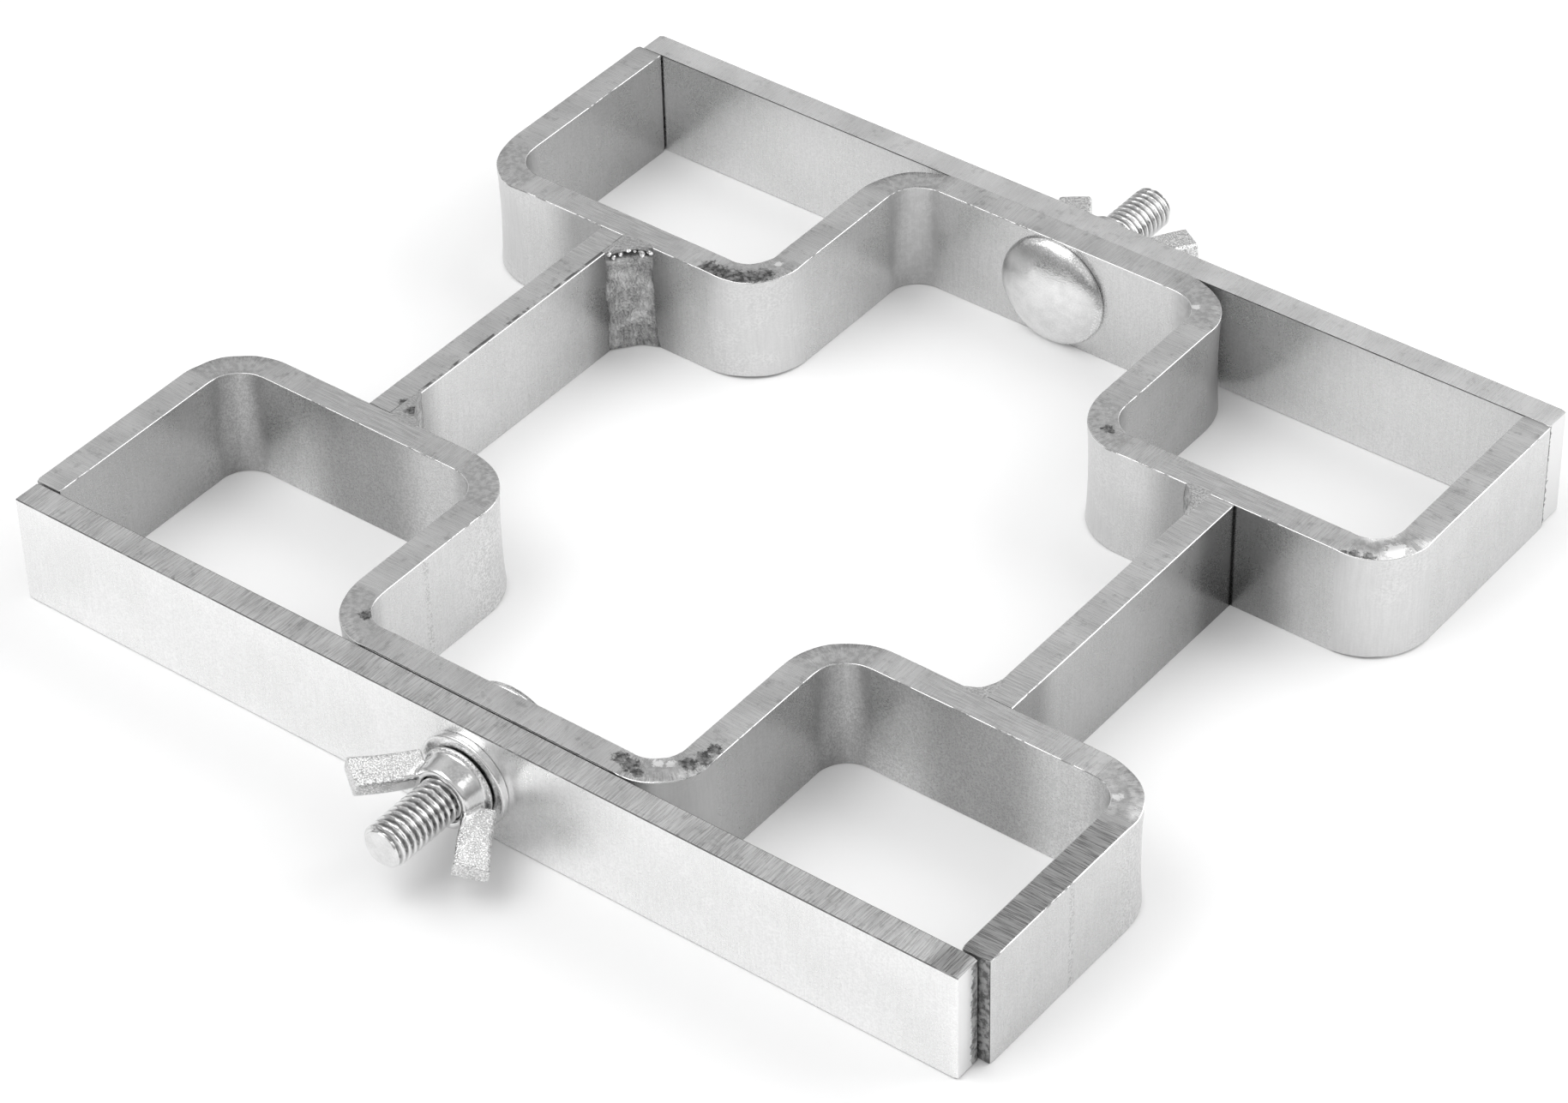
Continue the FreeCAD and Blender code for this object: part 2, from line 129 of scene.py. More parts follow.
class Signal:
    """An output in a node tree that can be reckoned with like a number."""

    def __init__(self, nodes: "Nodes", socket: bpy.types.NodeSocket) -> None:
        """Keep the socket and the helper of its tree."""
        self.nodes = nodes
        self.socket = socket

    def __add__(self, other: object) -> "Signal":
        """Return the sum."""
        return self.nodes.math("ADD", self, other)

    def __sub__(self, other: object) -> "Signal":
        """Return the difference."""
        return self.nodes.math("SUBTRACT", self, other)

    def __rsub__(self, other: float) -> "Signal":
        """Return a plain number less this."""
        return self.nodes.math("SUBTRACT", other, self)

    def __mul__(self, other: object) -> "Signal":
        """Return the product."""
        return self.nodes.math("MULTIPLY", self, other)

    def __rmul__(self, other: float) -> "Signal":
        """Return a plain number times this."""
        return self.nodes.math("MULTIPLY", other, self)

    def __truediv__(self, other: object) -> "Signal":
        """Return the quotient."""
        return self.nodes.math("DIVIDE", self, other)

    def __rtruediv__(self, other: float) -> "Signal":
        """Return a plain number divided by this."""
        return self.nodes.math("DIVIDE", other, self)

    def __abs__(self) -> "Signal":
        """Return the size without its sign."""
        return self.nodes.math("ABSOLUTE", self)

    def __gt__(self, other: object) -> "Signal":
        """Return 1 where this is the greater, and 0 elsewhere."""
        return self.nodes.math("GREATER_THAN", self, other)


class Nodes:
    """Adds nodes to one tree and wires them together."""

    def __init__(self, tree: bpy.types.NodeTree) -> None:
        """Keep the tree that the nodes go into."""
        self.tree = tree

    def feed(self, socket: bpy.types.NodeSocket, value: object) -> None:
        """Link a socket to a signal, or set its own value.

        Args:
            socket: The input that is fed.
            value: A signal, or a plain value.
        """
        if isinstance(value, Signal):
            self.tree.links.new(value.socket, socket)
        else:
            socket.default_value = value

    def add(self, kind: str, inputs: dict | None = None, **settings: object) -> bpy.types.Node:
        """Add a node.

        Args:
            kind: The node's type.
            inputs: Values or signals for its inputs, by name or number.
            settings: The node's own settings.

        Returns:
            The new node.
        """
        node = self.tree.nodes.new(kind)
        for name, value in settings.items():
            setattr(node, name, value)
        for key, value in (inputs or {}).items():
            self.feed(node.inputs[key], value)
        return node

    def signals(self, node: bpy.types.Node) -> tuple:
        """Return all outputs of a node."""
        return tuple(Signal(self, socket) for socket in node.outputs)

    def out(self, kind: str, inputs: dict | None = None, output: int | str = 0,
            **settings: object) -> Signal:
        """Add a node and return one of its outputs.

        Args:
            kind: The node's type.
            inputs: Values or signals for its inputs, by name or number.
            output: The output that is wanted, by name or number.
            settings: The node's own settings.

        Returns:
            The output.
        """
        return Signal(self, self.add(kind, inputs, **settings).outputs[output])

    def math(self, operation: str, *values: object) -> Signal:
        """Return the result of an operation on numbers."""
        return self.out("ShaderNodeMath", dict(enumerate(values)), operation=operation)

    def line(self, value: object, slope: object, start: object) -> Signal:
        """Return value times slope, plus start."""
        return self.math("MULTIPLY_ADD", value, slope, start)

    def vector(self, operation: str, *values: object) -> Signal:
        """Return the vector result of a vector operation."""
        return self.out("ShaderNodeVectorMath", dict(enumerate(values)), operation=operation)

    def length(self, x: object, y: object, z: object = 0.0) -> Signal:
        """Return the length of a vector that is given by its three numbers."""
        along = self.xyz(x, y, z)
        return self.out("ShaderNodeVectorMath", {0: along}, "Value", operation="LENGTH")

    def scaled(self, value: Signal, factor: object) -> Signal:
        """Return a vector times a number."""
        return self.out("ShaderNodeVectorMath", {0: value, "Scale": factor}, operation="SCALE")

    def xyz(self, x: object, y: object, z: object) -> Signal:
        """Return a vector made of three numbers."""
        return self.out("ShaderNodeCombineXYZ", {0: x, 1: y, 2: z})

    def split(self, value: Signal) -> tuple:
        """Return a vector's three numbers."""
        return self.signals(self.add("ShaderNodeSeparateXYZ", {0: value}))

    def remap(self, value: object, low: float, high: float, start: object = 0.0,
              stop: object = 1.0, smooth: bool = True) -> Signal:
        """Map a span of values onto another, clamped.

        Args:
            value: The value that is mapped.
            low: Value that gives start.
            high: Value that gives stop.
            start: Result at low and beyond it.
            stop: Result at high and beyond it.
            smooth: Whether the result eases in and out.

        Returns:
            The mapped value.
        """
        kind = "SMOOTHSTEP" if smooth else "LINEAR"
        values = {
            "Value": value,
            "From Min": low,
            "From Max": high,
            "To Min": start,
            "To Max": stop,
        }
        return self.out("ShaderNodeMapRange", values, interpolation_type=kind)

    def blend(self, share: object, first: object, second: object) -> Signal:
        """Return first where share is 0 and second where it is 1."""
        return self.out("ShaderNodeMix", {0: share, 2: first, 3: second}, data_type="FLOAT")

    def noise(self, place: Signal, scale: object, detail: float = 2.0,
              roughness: float = 0.5) -> Signal:
        """Return fractal noise from 0 to 1 at a place."""
        values = {"Vector": place, "Scale": scale, "Detail": detail, "Roughness": roughness}
        return self.out("ShaderNodeTexNoise", values)

    def attribute(self, name: str, output: str = "Fac") -> Signal:
        """Return a value that the mesh carries, for a shader."""
        return self.out("ShaderNodeAttribute", None, output, attribute_name=name)


def new_group(name: str, kind: str, inputs: dict, outputs: dict) -> tuple:
    """Start a node group with named sockets.

    Args:
        name: The group's name.
        kind: The type of tree.
        inputs: Socket types, with default values where they have them.
        outputs: Socket types.

    Returns:
        The tree, its Nodes helper, its inputs by name and its output node.
    """
    tree = bpy.data.node_groups.new(name, kind)
    for side, sockets in (("INPUT", inputs), ("OUTPUT", outputs)):
        for label, (socket_type, value) in sockets.items():
            socket = tree.interface.new_socket(name=label, in_out=side, socket_type=socket_type)
            if value is not None:
                socket.default_value = value
    nodes = Nodes(tree)
    source = nodes.add("NodeGroupInput")
    asked = {label: Signal(nodes, source.outputs[label]) for label in inputs}
    return tree, nodes, asked, nodes.add("NodeGroupOutput")


GEOMETRY = ("NodeSocketGeometry", None)
OBJECT = ("NodeSocketObject", None)
MATERIAL = ("NodeSocketMaterial", None)


def real(value: float) -> tuple:
    """A number socket with its default value."""
    return ("NodeSocketFloat", value)


def whole(value: int) -> tuple:
    """A whole number socket with its default value."""
    return ("NodeSocketInt", value)


VECTOR = ("NodeSocketVector", None)


def add_object(name: str, mesh: bpy.types.Mesh) -> bpy.types.Object:
    """Put a mesh into the scene as an object at the origin.

    Args:
        name: The object's name.
        mesh: Its mesh.

    Returns:
        The object.
    """
    item = bpy.data.objects.new(name, mesh)
    bpy.context.scene.collection.objects.link(item)
    return item


def line_mesh(name: str, points: list, closed: bool = False) -> bpy.types.Mesh:
    """Make a mesh of edges through points.

    Args:
        name: The mesh's name.
        points: Corners in order.
        closed: Whether the last corner joins the first.

    Returns:
        The mesh.
    """
    edges = [(i, i + 1) for i in range(len(points) - 1)]
    if closed:
        edges.append((len(points) - 1, 0))
    mesh = bpy.data.meshes.new(name)
    mesh.from_pydata([tuple(point) for point in points], edges, [])
    return mesh


def arc_points(x: float, y: float, radius: float, start: float, stop: float, count: int) -> list:
    """Points along an arc, both ends among them.

    Args:
        x: The centre's first place.
        y: The centre's second place.
        radius: The arc's radius.
        start: First angle in degrees.
        stop: Last angle in degrees.
        count: How many parts the arc has.

    Returns:
        Pairs of places.
    """
    angles = [math.radians(start + (stop - start) * i / count) for i in range(count + 1)]
    return [(x + radius * math.cos(angle), y + radius * math.sin(angle)) for angle in angles]


def ring_points(radius: float, count: int, x: float = 0.0, y: float = 0.0) -> list:
    """Corners of a regular outline about a point."""
    angles = [FULL_TURN * i / count for i in range(count)]
    return [(x + radius * math.cos(angle), y + radius * math.sin(angle)) for angle in angles]


def baked(name: str, source: bpy.types.Object, sharp_angle: float,
          place: Matrix) -> bpy.types.Object:
    """Turn an object with live modifiers into a plain mesh object.

    Args:
        name: The new object's name.
        source: The object with its modifiers, which is removed.
        sharp_angle: Angle in degrees over which an edge stays crisp.
        place: Matrix applied to the mesh.

    Returns:
        The new object, at the origin, with its faces outwards.
    """
    graph = bpy.context.evaluated_depsgraph_get()
    graph.update()
    mesh = bpy.data.meshes.new_from_object(
        source.evaluated_get(graph), preserve_all_data_layers=True, depsgraph=graph
    )
    bpy.data.objects.remove(source)
    mesh.name = name
    mesh.transform(place)
    face_outwards(mesh)
    mesh.shade_smooth()
    mesh.set_sharp_from_angle(angle=math.radians(sharp_angle))
    return add_object(name, mesh)


def face_outwards(mesh: bpy.types.Mesh) -> None:
    """Point every face of a closed mesh outwards.

    Args:
        mesh: The mesh, which is changed in place.
    """
    shape = bmesh.new()
    shape.from_mesh(mesh)
    bmesh.ops.recalc_face_normals(shape, faces=shape.faces)
    shape.to_mesh(mesh)
    shape.free()


def run_tree(name: str, mesh: bpy.types.Mesh, tree: bpy.types.NodeTree, values: dict,
             place: Matrix = Matrix.Identity(4), sharp_angle: float = 38.0) -> bpy.types.Object:
    """Run a geometry tree on a mesh and keep its result as a plain mesh.

    Args:
        name: The piece's name.
        mesh: What the tree starts from.
        tree: The geometry tree.
        values: Inputs by their names.
        place: Matrix applied to the result.
        sharp_angle: Angle in degrees over which an edge stays crisp.

    Returns:
        The finished piece.
    """
    source = add_object(name + "_source", mesh)
    modifier = source.modifiers.new(tree.name, "NODES")
    modifier.node_group = tree
    for item in tree.interface.items_tree:
        if item.item_type == "SOCKET" and item.in_out == "INPUT" and item.name in values:
            modifier[item.identifier] = values[item.name]
    return baked(name, source, sharp_angle, place)


class GrainGroup:
    """Fine lines that run across a bar, with speckle and slow patches."""

    def __init__(self) -> None:
        """Build the group once."""
        tree, nodes, asked, result = new_group(
            "Bar grain",
            "ShaderNodeTree",
            {
                "Place": VECTOR,
                "Lines per mm": real(3.0),
                "Line length mm": real(6.0),
                "Speck size mm": real(0.38),
            },
            {"Lines": real(0.0), "Specks": real(0.0), "Patches": real(0.0)},
        )
        place = nodes.scaled(asked["Place"], 1 / MM)
        along, across, up = nodes.split(place)
        shrink = 1.0 / asked["Line length mm"]
        # Lines wander a little, as marks of a mill or a belt do
        wander = nodes.noise(place, 0.12, 1.0)
        along = along * asked["Lines per mm"] + wander * 3.0
        lines = nodes.noise(nodes.xyz(along, across * shrink, up * shrink), 1.0, 3.0, 0.6)
        specks = nodes.noise(place, 1.0 / asked["Speck size mm"], 2.0, 0.6)
        patches = nodes.noise(place, 0.09, 2.0, 0.5)
        nodes.feed(result.inputs["Lines"], nodes.remap(lines, 0.3, 0.7))
        nodes.feed(result.inputs["Specks"], nodes.remap(specks, 0.35, 0.65))
        nodes.feed(result.inputs["Patches"], nodes.remap(patches, 0.3, 0.7))
        self.tree = tree


class SpeckGroup:
    """Mottle of plated or cast metal: fine specks over cloudy patches."""

    def __init__(self) -> None:
        """Build the group once."""
        tree, nodes, asked, result = new_group(
            "Plate mottle",
            "ShaderNodeTree",
            {"Place": VECTOR, "Speck size mm": real(0.35), "Cloud size mm": real(3.0)},
            {"Specks": real(0.0), "Clouds": real(0.0)},
        )
        place = nodes.scaled(asked["Place"], 1 / MM)
        fine = nodes.noise(place, 1.0 / asked["Speck size mm"], 3.0, 0.6)
        clouds = nodes.noise(place, 1.0 / asked["Cloud size mm"], 3.0, 0.55)
        nodes.feed(result.inputs["Specks"], nodes.remap(fine, 0.38, 0.66))
        nodes.feed(result.inputs["Clouds"], nodes.remap(clouds, 0.35, 0.65))
        self.tree = tree

    def mottle(self, nodes: Nodes, spot: Signal, speck_size: float,
               cloud_size: float = 3.0) -> tuple:
        """Return the specks and the clouds in a material.

        Args:
            nodes: The material's nodes.
            spot: Place in the frame.
            speck_size: How large a speck is, in millimetres.
            cloud_size: How large a cloud is, in millimetres.

        Returns:
            Specks and clouds, both from 0 to 1.
        """
        values = {"Place": spot, "Speck size mm": speck_size, "Cloud size mm": cloud_size}
        return nodes.signals(nodes.add("ShaderNodeGroup", values, node_tree=self.tree))


def start_material(name: str) -> tuple:
    """Start a material with a plain shader.

    Args:
        name: The material's name.

    Returns:
        The material, its Nodes helper and its shader.
    """
    material = bpy.data.materials.new(name)
    material.use_nodes = True
    material.node_tree.nodes.clear()
    nodes = Nodes(material.node_tree)
    shader = nodes.add("ShaderNodeBsdfPrincipled")
    surface = Signal(nodes, shader.outputs[0])
    nodes.add("ShaderNodeOutputMaterial", {"Surface": surface})
    return material, nodes, shader


def feed_metal(nodes: Nodes, shader: bpy.types.Node, shade: Signal, rough: Signal,
               height: Signal, relief: float, strength: float) -> None:
    """Make a shader metallic and feed its colour, roughness and bump.

    Args:
        nodes: The material's nodes.
        shader: The material's shader.
        shade: Grey of the metal.
        rough: Its roughness.
        height: Height of its fine relief.
        relief: Distance that a height of 1 stands for.
        strength: How strongly the relief shows.
    """
    nodes.feed(shader.inputs["Base Color"], shade)
    nodes.feed(shader.inputs["Roughness"], rough)
    bump = nodes.out(
        "ShaderNodeBump", {"Strength": strength, "Distance": relief, "Height": height}
    )
    nodes.feed(shader.inputs["Normal"], bump)
    shader.inputs["Metallic"].default_value = 1.0


@dataclass(frozen=True)
class BendMarkOrHighlight:
    """A dark mark on the top of a worked bend, or a smooth patch there with a painted highlight, in
    millimetres of the frame's X and Y.
    """

    x: float
    y: float
    reach: float
    bright: bool


def marks_round(x: float, y: float, start: float, stop: float, radius: float, reach: float,
                count: int) -> tuple:
    """Dark marks along the outside of a bend.

    Args:
        x: The bend's centre.
        y: The bend's centre.
        start: Angle of the first mark in degrees.
        stop: Angle of the last mark in degrees.
        radius: How far from the centre the marks lie.
        reach: The marks' reach.
        count: How many marks there are.

    Returns:
        The marks.
    """
    spots = arc_points(x, y, radius, start, stop, count - 1)
    return tuple(BendMarkOrHighlight(*spot, reach, False) for spot in spots)


def marks_or_highlights_at(bright: bool, *spots: tuple) -> tuple:
    """Places given as X, Y and reach: all painted highlights or all dark marks."""
    return tuple(BendMarkOrHighlight(*spot, bright) for spot in spots)


BEND_MARKS_AND_HIGHLIGHTS = (
    marks_round(-50.45, 50.33, -96.0, -36.0, 11.8, 2.6, 10)
    # Painted highlights, on smooth patches of the bends
    + marks_or_highlights_at(
        True, (111.2, 43.6, 2.6), (112.8, 41.9, 2.2), (108.0, -45.3, 1.2), (36.8, 86.0, 1.1),
        (-40.9, 48.0, 1.0), (34.9, -87.3, 1.3), (37.0, -86.0, 1.2),
    )
    + marks_or_highlights_at(
        False, (28.6, -90.2, 2.0), (31.4, -90.6, 2.3), (33.6, -91.4, 1.7), (39.6, -84.2, 2.2),
        (40.9, -81.4, 2.3), (41.2, -78.4, 1.9), (-73.0, -32.8, 1.5), (-69.6, -33.8, 1.3),
        (103.2, 36.8, 1.5), (105.6, 37.4, 2.1), (108.0, 38.4, 2.2), (116.2, 45.6, 1.4),
        (-36.0, -86.8, 1.8), (45.2, 42.4, 1.6),
    )
)


@dataclass(frozen=True)
class BarFinish:
    """Plated flat bar: pale satin sides, scratched tops, worn arrises and cropped ends.

    A cropped end is smooth where the blade cut and torn where the bar broke:
    smooth_share says how much of the bar's thickness the blade cut.
    """

    grain: GrainGroup
    name: str = "bar steel"
    side_shade: float = 0.64
    edge_shade: float = 0.53
    side_roughness: float = 0.27
    edge_roughness: float = 0.30
    lines_per_mm: float = 3.6
    line_depth: float = 0.10
    arris_shade: float = 0.80
    arris_roughness: float = 0.25
    arris_worn: float = 0.52
    gap_shade: float = 0.34
    smooth_share: float = 0.0
    bar_height: float = 25.4 * MM
    bar_lift: float = 0.0
    relief: float = 0.010 * MM
    relief_strength: float = 0.55
    marks: tuple = ()
    painted_highlight_shade: float = 0.92
    streak: float = 0.0
    streak_shade: float = 0.10
    streak_inset: float = 0.66 * MM
    pocket_side_painted_shade: float = 0.0
    weld_corner_painted_shade: float = 0.42
    corner_shade: float = 0.10
    seam_shade: float = 0.05
    scratched_from: tuple = (104 * MM, -47 * MM)
    scuffs: tuple = ((114.6 * MM, -69.2 * MM), (-37.5 * MM, -68.0 * MM))
    scuff_depth: float = 0.12
    pocket_grit: float = 0.13
    bar_end: float = 112 * MM
    leg_inside: float = 90 * MM

    def make(self) -> bpy.types.Material:
        """Build the material.

        Returns:
            The material.
        """
        material, nodes, shader = start_material(self.name)
        bar = BarShader(self, nodes)
        shade, rough, height = bar.shade(), bar.roughness(), bar.height()
        feed_metal(nodes, shader, shade, rough, height, self.relief, self.relief_strength)
        return material


class BarShader:
    """Lays out the nodes of one bar finish."""

    def __init__(self, finish: BarFinish, nodes: Nodes) -> None:
        """Read the place, the bar's own lay and its grain.

        Args:
            finish: The finish that is laid out.
            nodes: The material's nodes.
        """
        self.finish = finish
        self.nodes = nodes
        lay = nodes.attribute("lay", "Vector")
        values = {"Place": lay, "Lines per mm": finish.lines_per_mm}
        self.lines, self.specks, self.patches = nodes.signals(
            nodes.add("ShaderNodeGroup", values, node_tree=finish.grain.tree)
        )
        spot = nodes.out("ShaderNodeTexCoord", None, "Object")
        self.place = nodes.scaled(spot, 1 / MM)
        self.x, self.y, _ = nodes.split(spot)
        self.run, self.across, self.up = nodes.split(lay)
        self.turn = nodes.attribute("turn")
        self.normal = nodes.split(nodes.out("ShaderNodeNewGeometry", None, "Normal"))
        self.find_masks()

    def arrises(self) -> Signal:
        """Return 1 on the bar's two upper arrises.

        Returns:
            The mask.
        """
        nodes, finish = self.nodes, self.finish
        top = finish.bar_height + finish.bar_lift
        half = SIZES.half_thickness
        beside = nodes.remap(abs(self.across), half - 0.26 * MM, half - 0.14 * MM)
        return beside * nodes.remap(self.up, top - 0.28 * MM, top - 0.16 * MM)

    def seams(self) -> Signal:
        """Return 1 in the dark joint where a clamp bar lies against a strip.

        Returns:
            The mask, narrow on the tops and wider on the ends.
        """
        nodes = self.nodes
        away = abs(abs(self.y) - SIZES.bar_face)
        normal_x, _, normal_z = self.normal
        on_top = nodes.remap(away, 0.16 * MM, 0.09 * MM) * nodes.remap(normal_z, 0.1, 0.3)
        beside = nodes.remap(abs(normal_x), 0.3, 0.6)
        on_end = nodes.remap(away, 0.46 * MM, 0.32 * MM) * beside
        return nodes.math("MAXIMUM", on_top, on_end)

    def round_welds(self) -> tuple:
        """Return where the tops were ground along X round each weld, which also bounds the sides'
        painted shade, and the belt's marks.

        Returns:
            The mask and the marks, both from 0 to 1.
        """
        nodes = self.nodes
        beyond = (abs(self.y) - SIZES.web_half) * 1.3
        from_weld = nodes.length(abs(self.x) - SIZES.web_line, beyond)
        belt = nodes.noise(nodes.xyz(self.x * 160.0, self.y * 2600.0, 0.0), 1.0, 3.0, 0.6)
        return nodes.remap(from_weld, 20 * MM, 10 * MM), nodes.remap(belt, 0.32, 0.68)

    def ends(self) -> tuple:
        """Return where the bar's ends are, and how torn they are there.

        Returns:
            Two masks.
        """
        nodes, finish = self.nodes, self.finish
        if finish.smooth_share:
            beyond, faced = abs(self.x) > finish.bar_end, self.normal[0]
        else:
            beyond, faced = abs(self.y) > SIZES.bar_face - 1.2 * MM, self.normal[1]
        beyond = beyond * (abs(self.x) > finish.leg_inside)
        place = nodes.xyz(self.across * 400.0, self.up * 900.0, 3.0)
        ragged = nodes.noise(place, 1.0, 3.0, 0.6)
        cut_line = SIZES.half_thickness * (2 * finish.smooth_share - 1)
        depth = nodes.line(ragged - 0.5, 3 * MM, self.across * -1.0)
        torn = nodes.remap(depth, cut_line - 0.2 * MM, cut_line + 0.2 * MM)
        return beyond * nodes.remap(abs(faced), 0.75, 0.9), torn

    def bend_marks_and_highlights(self, bright: bool) -> object:
        """Return 1 on the painted highlights or on the dark marks of the bends.

        Args:
            bright: Whether the painted highlights or the dark marks are asked for.

        Returns:
            The mask, or 0 where the bar has no marks.
        """
        nodes, finish = self.nodes, self.finish
        x, y, _ = nodes.split(self.place)
        fray = nodes.noise(self.place, 1.1, 5.0, 0.7) * 2.4
        mask = 0.0
        for mark in finish.marks:
            if mark.bright is not bright:
                continue
            away = nodes.length(x - mark.x, y - mark.y)
            inside = nodes.line(away, -1 / mark.reach, 2.2 - fray)
            mask = nodes.math("MAXIMUM", mask, nodes.remap(inside, 0.0, 0.45))
        return mask

    def upright_scuffs(self) -> Signal:
        """Return 1 on the plain upright scuffs of the sides.

        Returns:
            The mask, broken up by fine specks.
        """
        nodes, finish = self.nodes, self.finish
        mask = 0.0
        for scuff_x, scuff_y in finish.scuffs:
            near = nodes.remap(abs(self.x - scuff_x), 3 * MM, 2 * MM)
            stripe = nodes.remap(abs(self.y - scuff_y), 1.0 * MM, 0.5 * MM) * near
            mask = nodes.math("MAXIMUM", mask, stripe)
        return mask * nodes.remap(self.specks, 0.5, 0.3)

    def find_masks(self) -> None:
        """Find out where the surface differs from plain stock, from 0 to 1."""
        nodes, finish = self.nodes, self.finish
        self.facing_up = nodes.remap(abs(self.normal[2]), 0.6, 0.9)
        self.near_weld, self.belt = self.round_welds()
        self.ground = self.near_weld * self.facing_up
        self.worked = nodes.remap(abs(self.turn), 0.25, 0.8)
        self.lean = self.across / SIZES.half_thickness * self.turn
        self.stretched = nodes.remap(self.lean, 0.0, 0.5)
        self.crease = nodes.remap(nodes.noise(self.place, 0.8, 4.0, 0.65), 0.38, 0.62)
        self.bright = self.bend_marks_and_highlights(True) * self.facing_up
        self.dark = self.bend_marks_and_highlights(False) * self.facing_up
        self.arris = self.arrises()
        gaps = nodes.noise(nodes.xyz(self.run * 130.0, 0.0, self.up * 700.0), 1.0, 5.0, 0.75)
        self.gaps = nodes.remap(gaps, finish.arris_worn, finish.arris_worn + 0.06)
        self.end, self.torn = self.ends()
        self.seam = self.seams()

    def side(self) -> Signal:
        """Shade the bar's sides.

        Returns:
            The grey of the sides.
        """
        nodes, finish = self.nodes, self.finish
        # Grit shows in a few wide patches and low in the front pockets
        pocket = nodes.remap(self.y + SIZES.strip_line, -7 * MM, 5 * MM, finish.pocket_grit, 0.0)
        pocket = pocket * nodes.remap(self.y, -60 * MM, -50 * MM)
        gritty = nodes.remap(self.patches, 0.3, 0.85, 0.02, 0.09) + pocket
        grit = (self.specks - 0.5) * gritty - self.upright_scuffs() * finish.scuff_depth
        side = nodes.line(self.lines, 0.04, finish.side_shade - 0.03)
        side = nodes.line(self.patches, 0.04, side) + grit
        # Painted shade darkens the sides towards the weld corners
        side = side * nodes.line(self.near_weld, -finish.weld_corner_painted_shade, 1.0)
        # Painted shade darkens the inner half of each bend, in the inside corners
        pressed = nodes.remap(self.lean, 0.0, -1.0) * nodes.line(self.crease, 0.08, 0.14)
        side = side * (1.0 - pressed)
        # Painted shade darkens the sides that face along X on the bar's pocket side, such as the
        # pockets' end walls
        x_faces_inside = nodes.remap(self.across, 0.0, MM) * nodes.remap(abs(self.normal[0]), 0.5, 0.9)
        side = side * nodes.line(x_faces_inside, -finish.pocket_side_painted_shade, 1.0)
        # A dark line stays in the corner between web and strip
        beside = abs(self.x) - (SIZES.web_line + SIZES.half_thickness)
        corner = nodes.length(beside, abs(self.y) - SIZES.web_half)
        return nodes.blend(nodes.remap(corner, 0.7 * MM, 0.25 * MM), side, finish.corner_shade)

    def top(self) -> Signal:
        """Shade the bar's top: drawn, bent, scratched or ground.

        Returns:
            The grey of the top.
        """
        nodes, finish = self.nodes, self.finish
        shade = finish.edge_shade
        top = nodes.line(self.lines, finish.line_depth, shade - finish.line_depth / 2)
        top = nodes.line(self.patches, 0.12, top)
        blots = nodes.remap(nodes.noise(self.place, 0.42, 5.0, 0.7), 0.54, 0.68)
        top = nodes.line(blots, -0.13, top)
        # The stretched outer half of a bend is wrinkled across
        bent = nodes.line(self.crease, 0.14, shade - 0.09)
        wrinkled = nodes.line(self.lines, 0.12, nodes.line(self.crease, 0.16, 0.38))
        bent = nodes.blend(self.stretched, bent, wrinkled)
        from_x, from_y = finish.scratched_from
        scratched = nodes.remap(self.x, from_x, from_x + 3 * MM)
        scratched = scratched * nodes.remap(self.y, from_y, from_y - 9 * MM)
        top = nodes.blend(scratched, top, nodes.line(self.lines, 0.26, shade - 0.34))
        top = nodes.blend(self.worked, top, bent)
        top = nodes.blend(self.ground, top, nodes.line(self.belt, 0.20, shade - 0.07))
        # A dark broken streak runs beside one arris
        beside = abs(self.across - (SIZES.half_thickness - finish.streak_inset))
        broken = nodes.noise(self.place, 0.25, 3.0, 0.6)
        broken = nodes.remap(broken, 0.38, 0.5, 0.0, finish.streak)
        streak = nodes.remap(beside, 0.45 * MM, 0.2 * MM) * broken
        top = nodes.blend(streak, top, finish.streak_shade)
        top = nodes.blend(self.dark, top, nodes.line(self.crease, 0.22, 0.08))
        # Painted highlights light up smooth patches on some bends
        return nodes.blend(self.bright, top, finish.painted_highlight_shade)

    def shade(self) -> Signal:
        """Join sides, top, arrises and ends into one grey.

        Returns:
            The grey of the bar.
        """
        nodes, finish = self.nodes, self.finish
        side = self.side()
        shade = nodes.blend(self.facing_up, side, self.top())
        arris = nodes.line(self.gaps, finish.gap_shade - finish.arris_shade, finish.arris_shade)
        shade = nodes.blend(self.arris, shade, arris)
        torn = nodes.line(self.crease, 0.32, 0.20)
        shade = nodes.blend(self.end, shade, nodes.blend(self.torn, finish.side_shade + 0.04, torn))
        return nodes.blend(self.seam, shade, finish.seam_shade)

    def roughness(self) -> Signal:
        """Return how rough the bar is.

        Returns:
            The roughness.
        """
        nodes, finish = self.nodes, self.finish
        rough = nodes.line(self.specks, 0.06, finish.side_roughness - 0.03)
        rough = nodes.line(self.patches, 0.05, rough)
        rough = nodes.blend(self.worked, rough, 0.36)
        top = nodes.line(self.lines, 0.10, finish.edge_roughness - 0.05)
        top = nodes.blend(self.bright, nodes.blend(self.dark, top, 0.45), 0.32)
        rough = nodes.blend(self.facing_up, rough, top)
        arris = nodes.blend(self.gaps, finish.arris_roughness, 0.6)
        rough = nodes.blend(self.arris, rough, arris)
        rough = nodes.blend(self.end, rough, nodes.blend(self.torn, 0.3, 0.6))
        return nodes.blend(self.seam, rough, 0.9)

    def height(self) -> Signal:
        """Return the height of the bar's fine relief.

        Returns:
            The height, in parts of the relief.
        """
        nodes = self.nodes
        height = self.lines * nodes.blend(self.facing_up, 0.25, 0.8)
        wrinkles = nodes.line(self.lines * self.stretched, 0.9, self.crease)
        height = nodes.blend(self.worked * self.facing_up, height, wrinkles)
        height = nodes.blend(self.ground, height, self.belt)
        height = nodes.blend(self.dark, height, self.crease * 5.0)
        height = nodes.blend(self.bright, height, 0.0)
        height = nodes.line(self.specks, 0.35, height)
        return nodes.blend(self.end * self.torn, height, self.crease * 8.0)


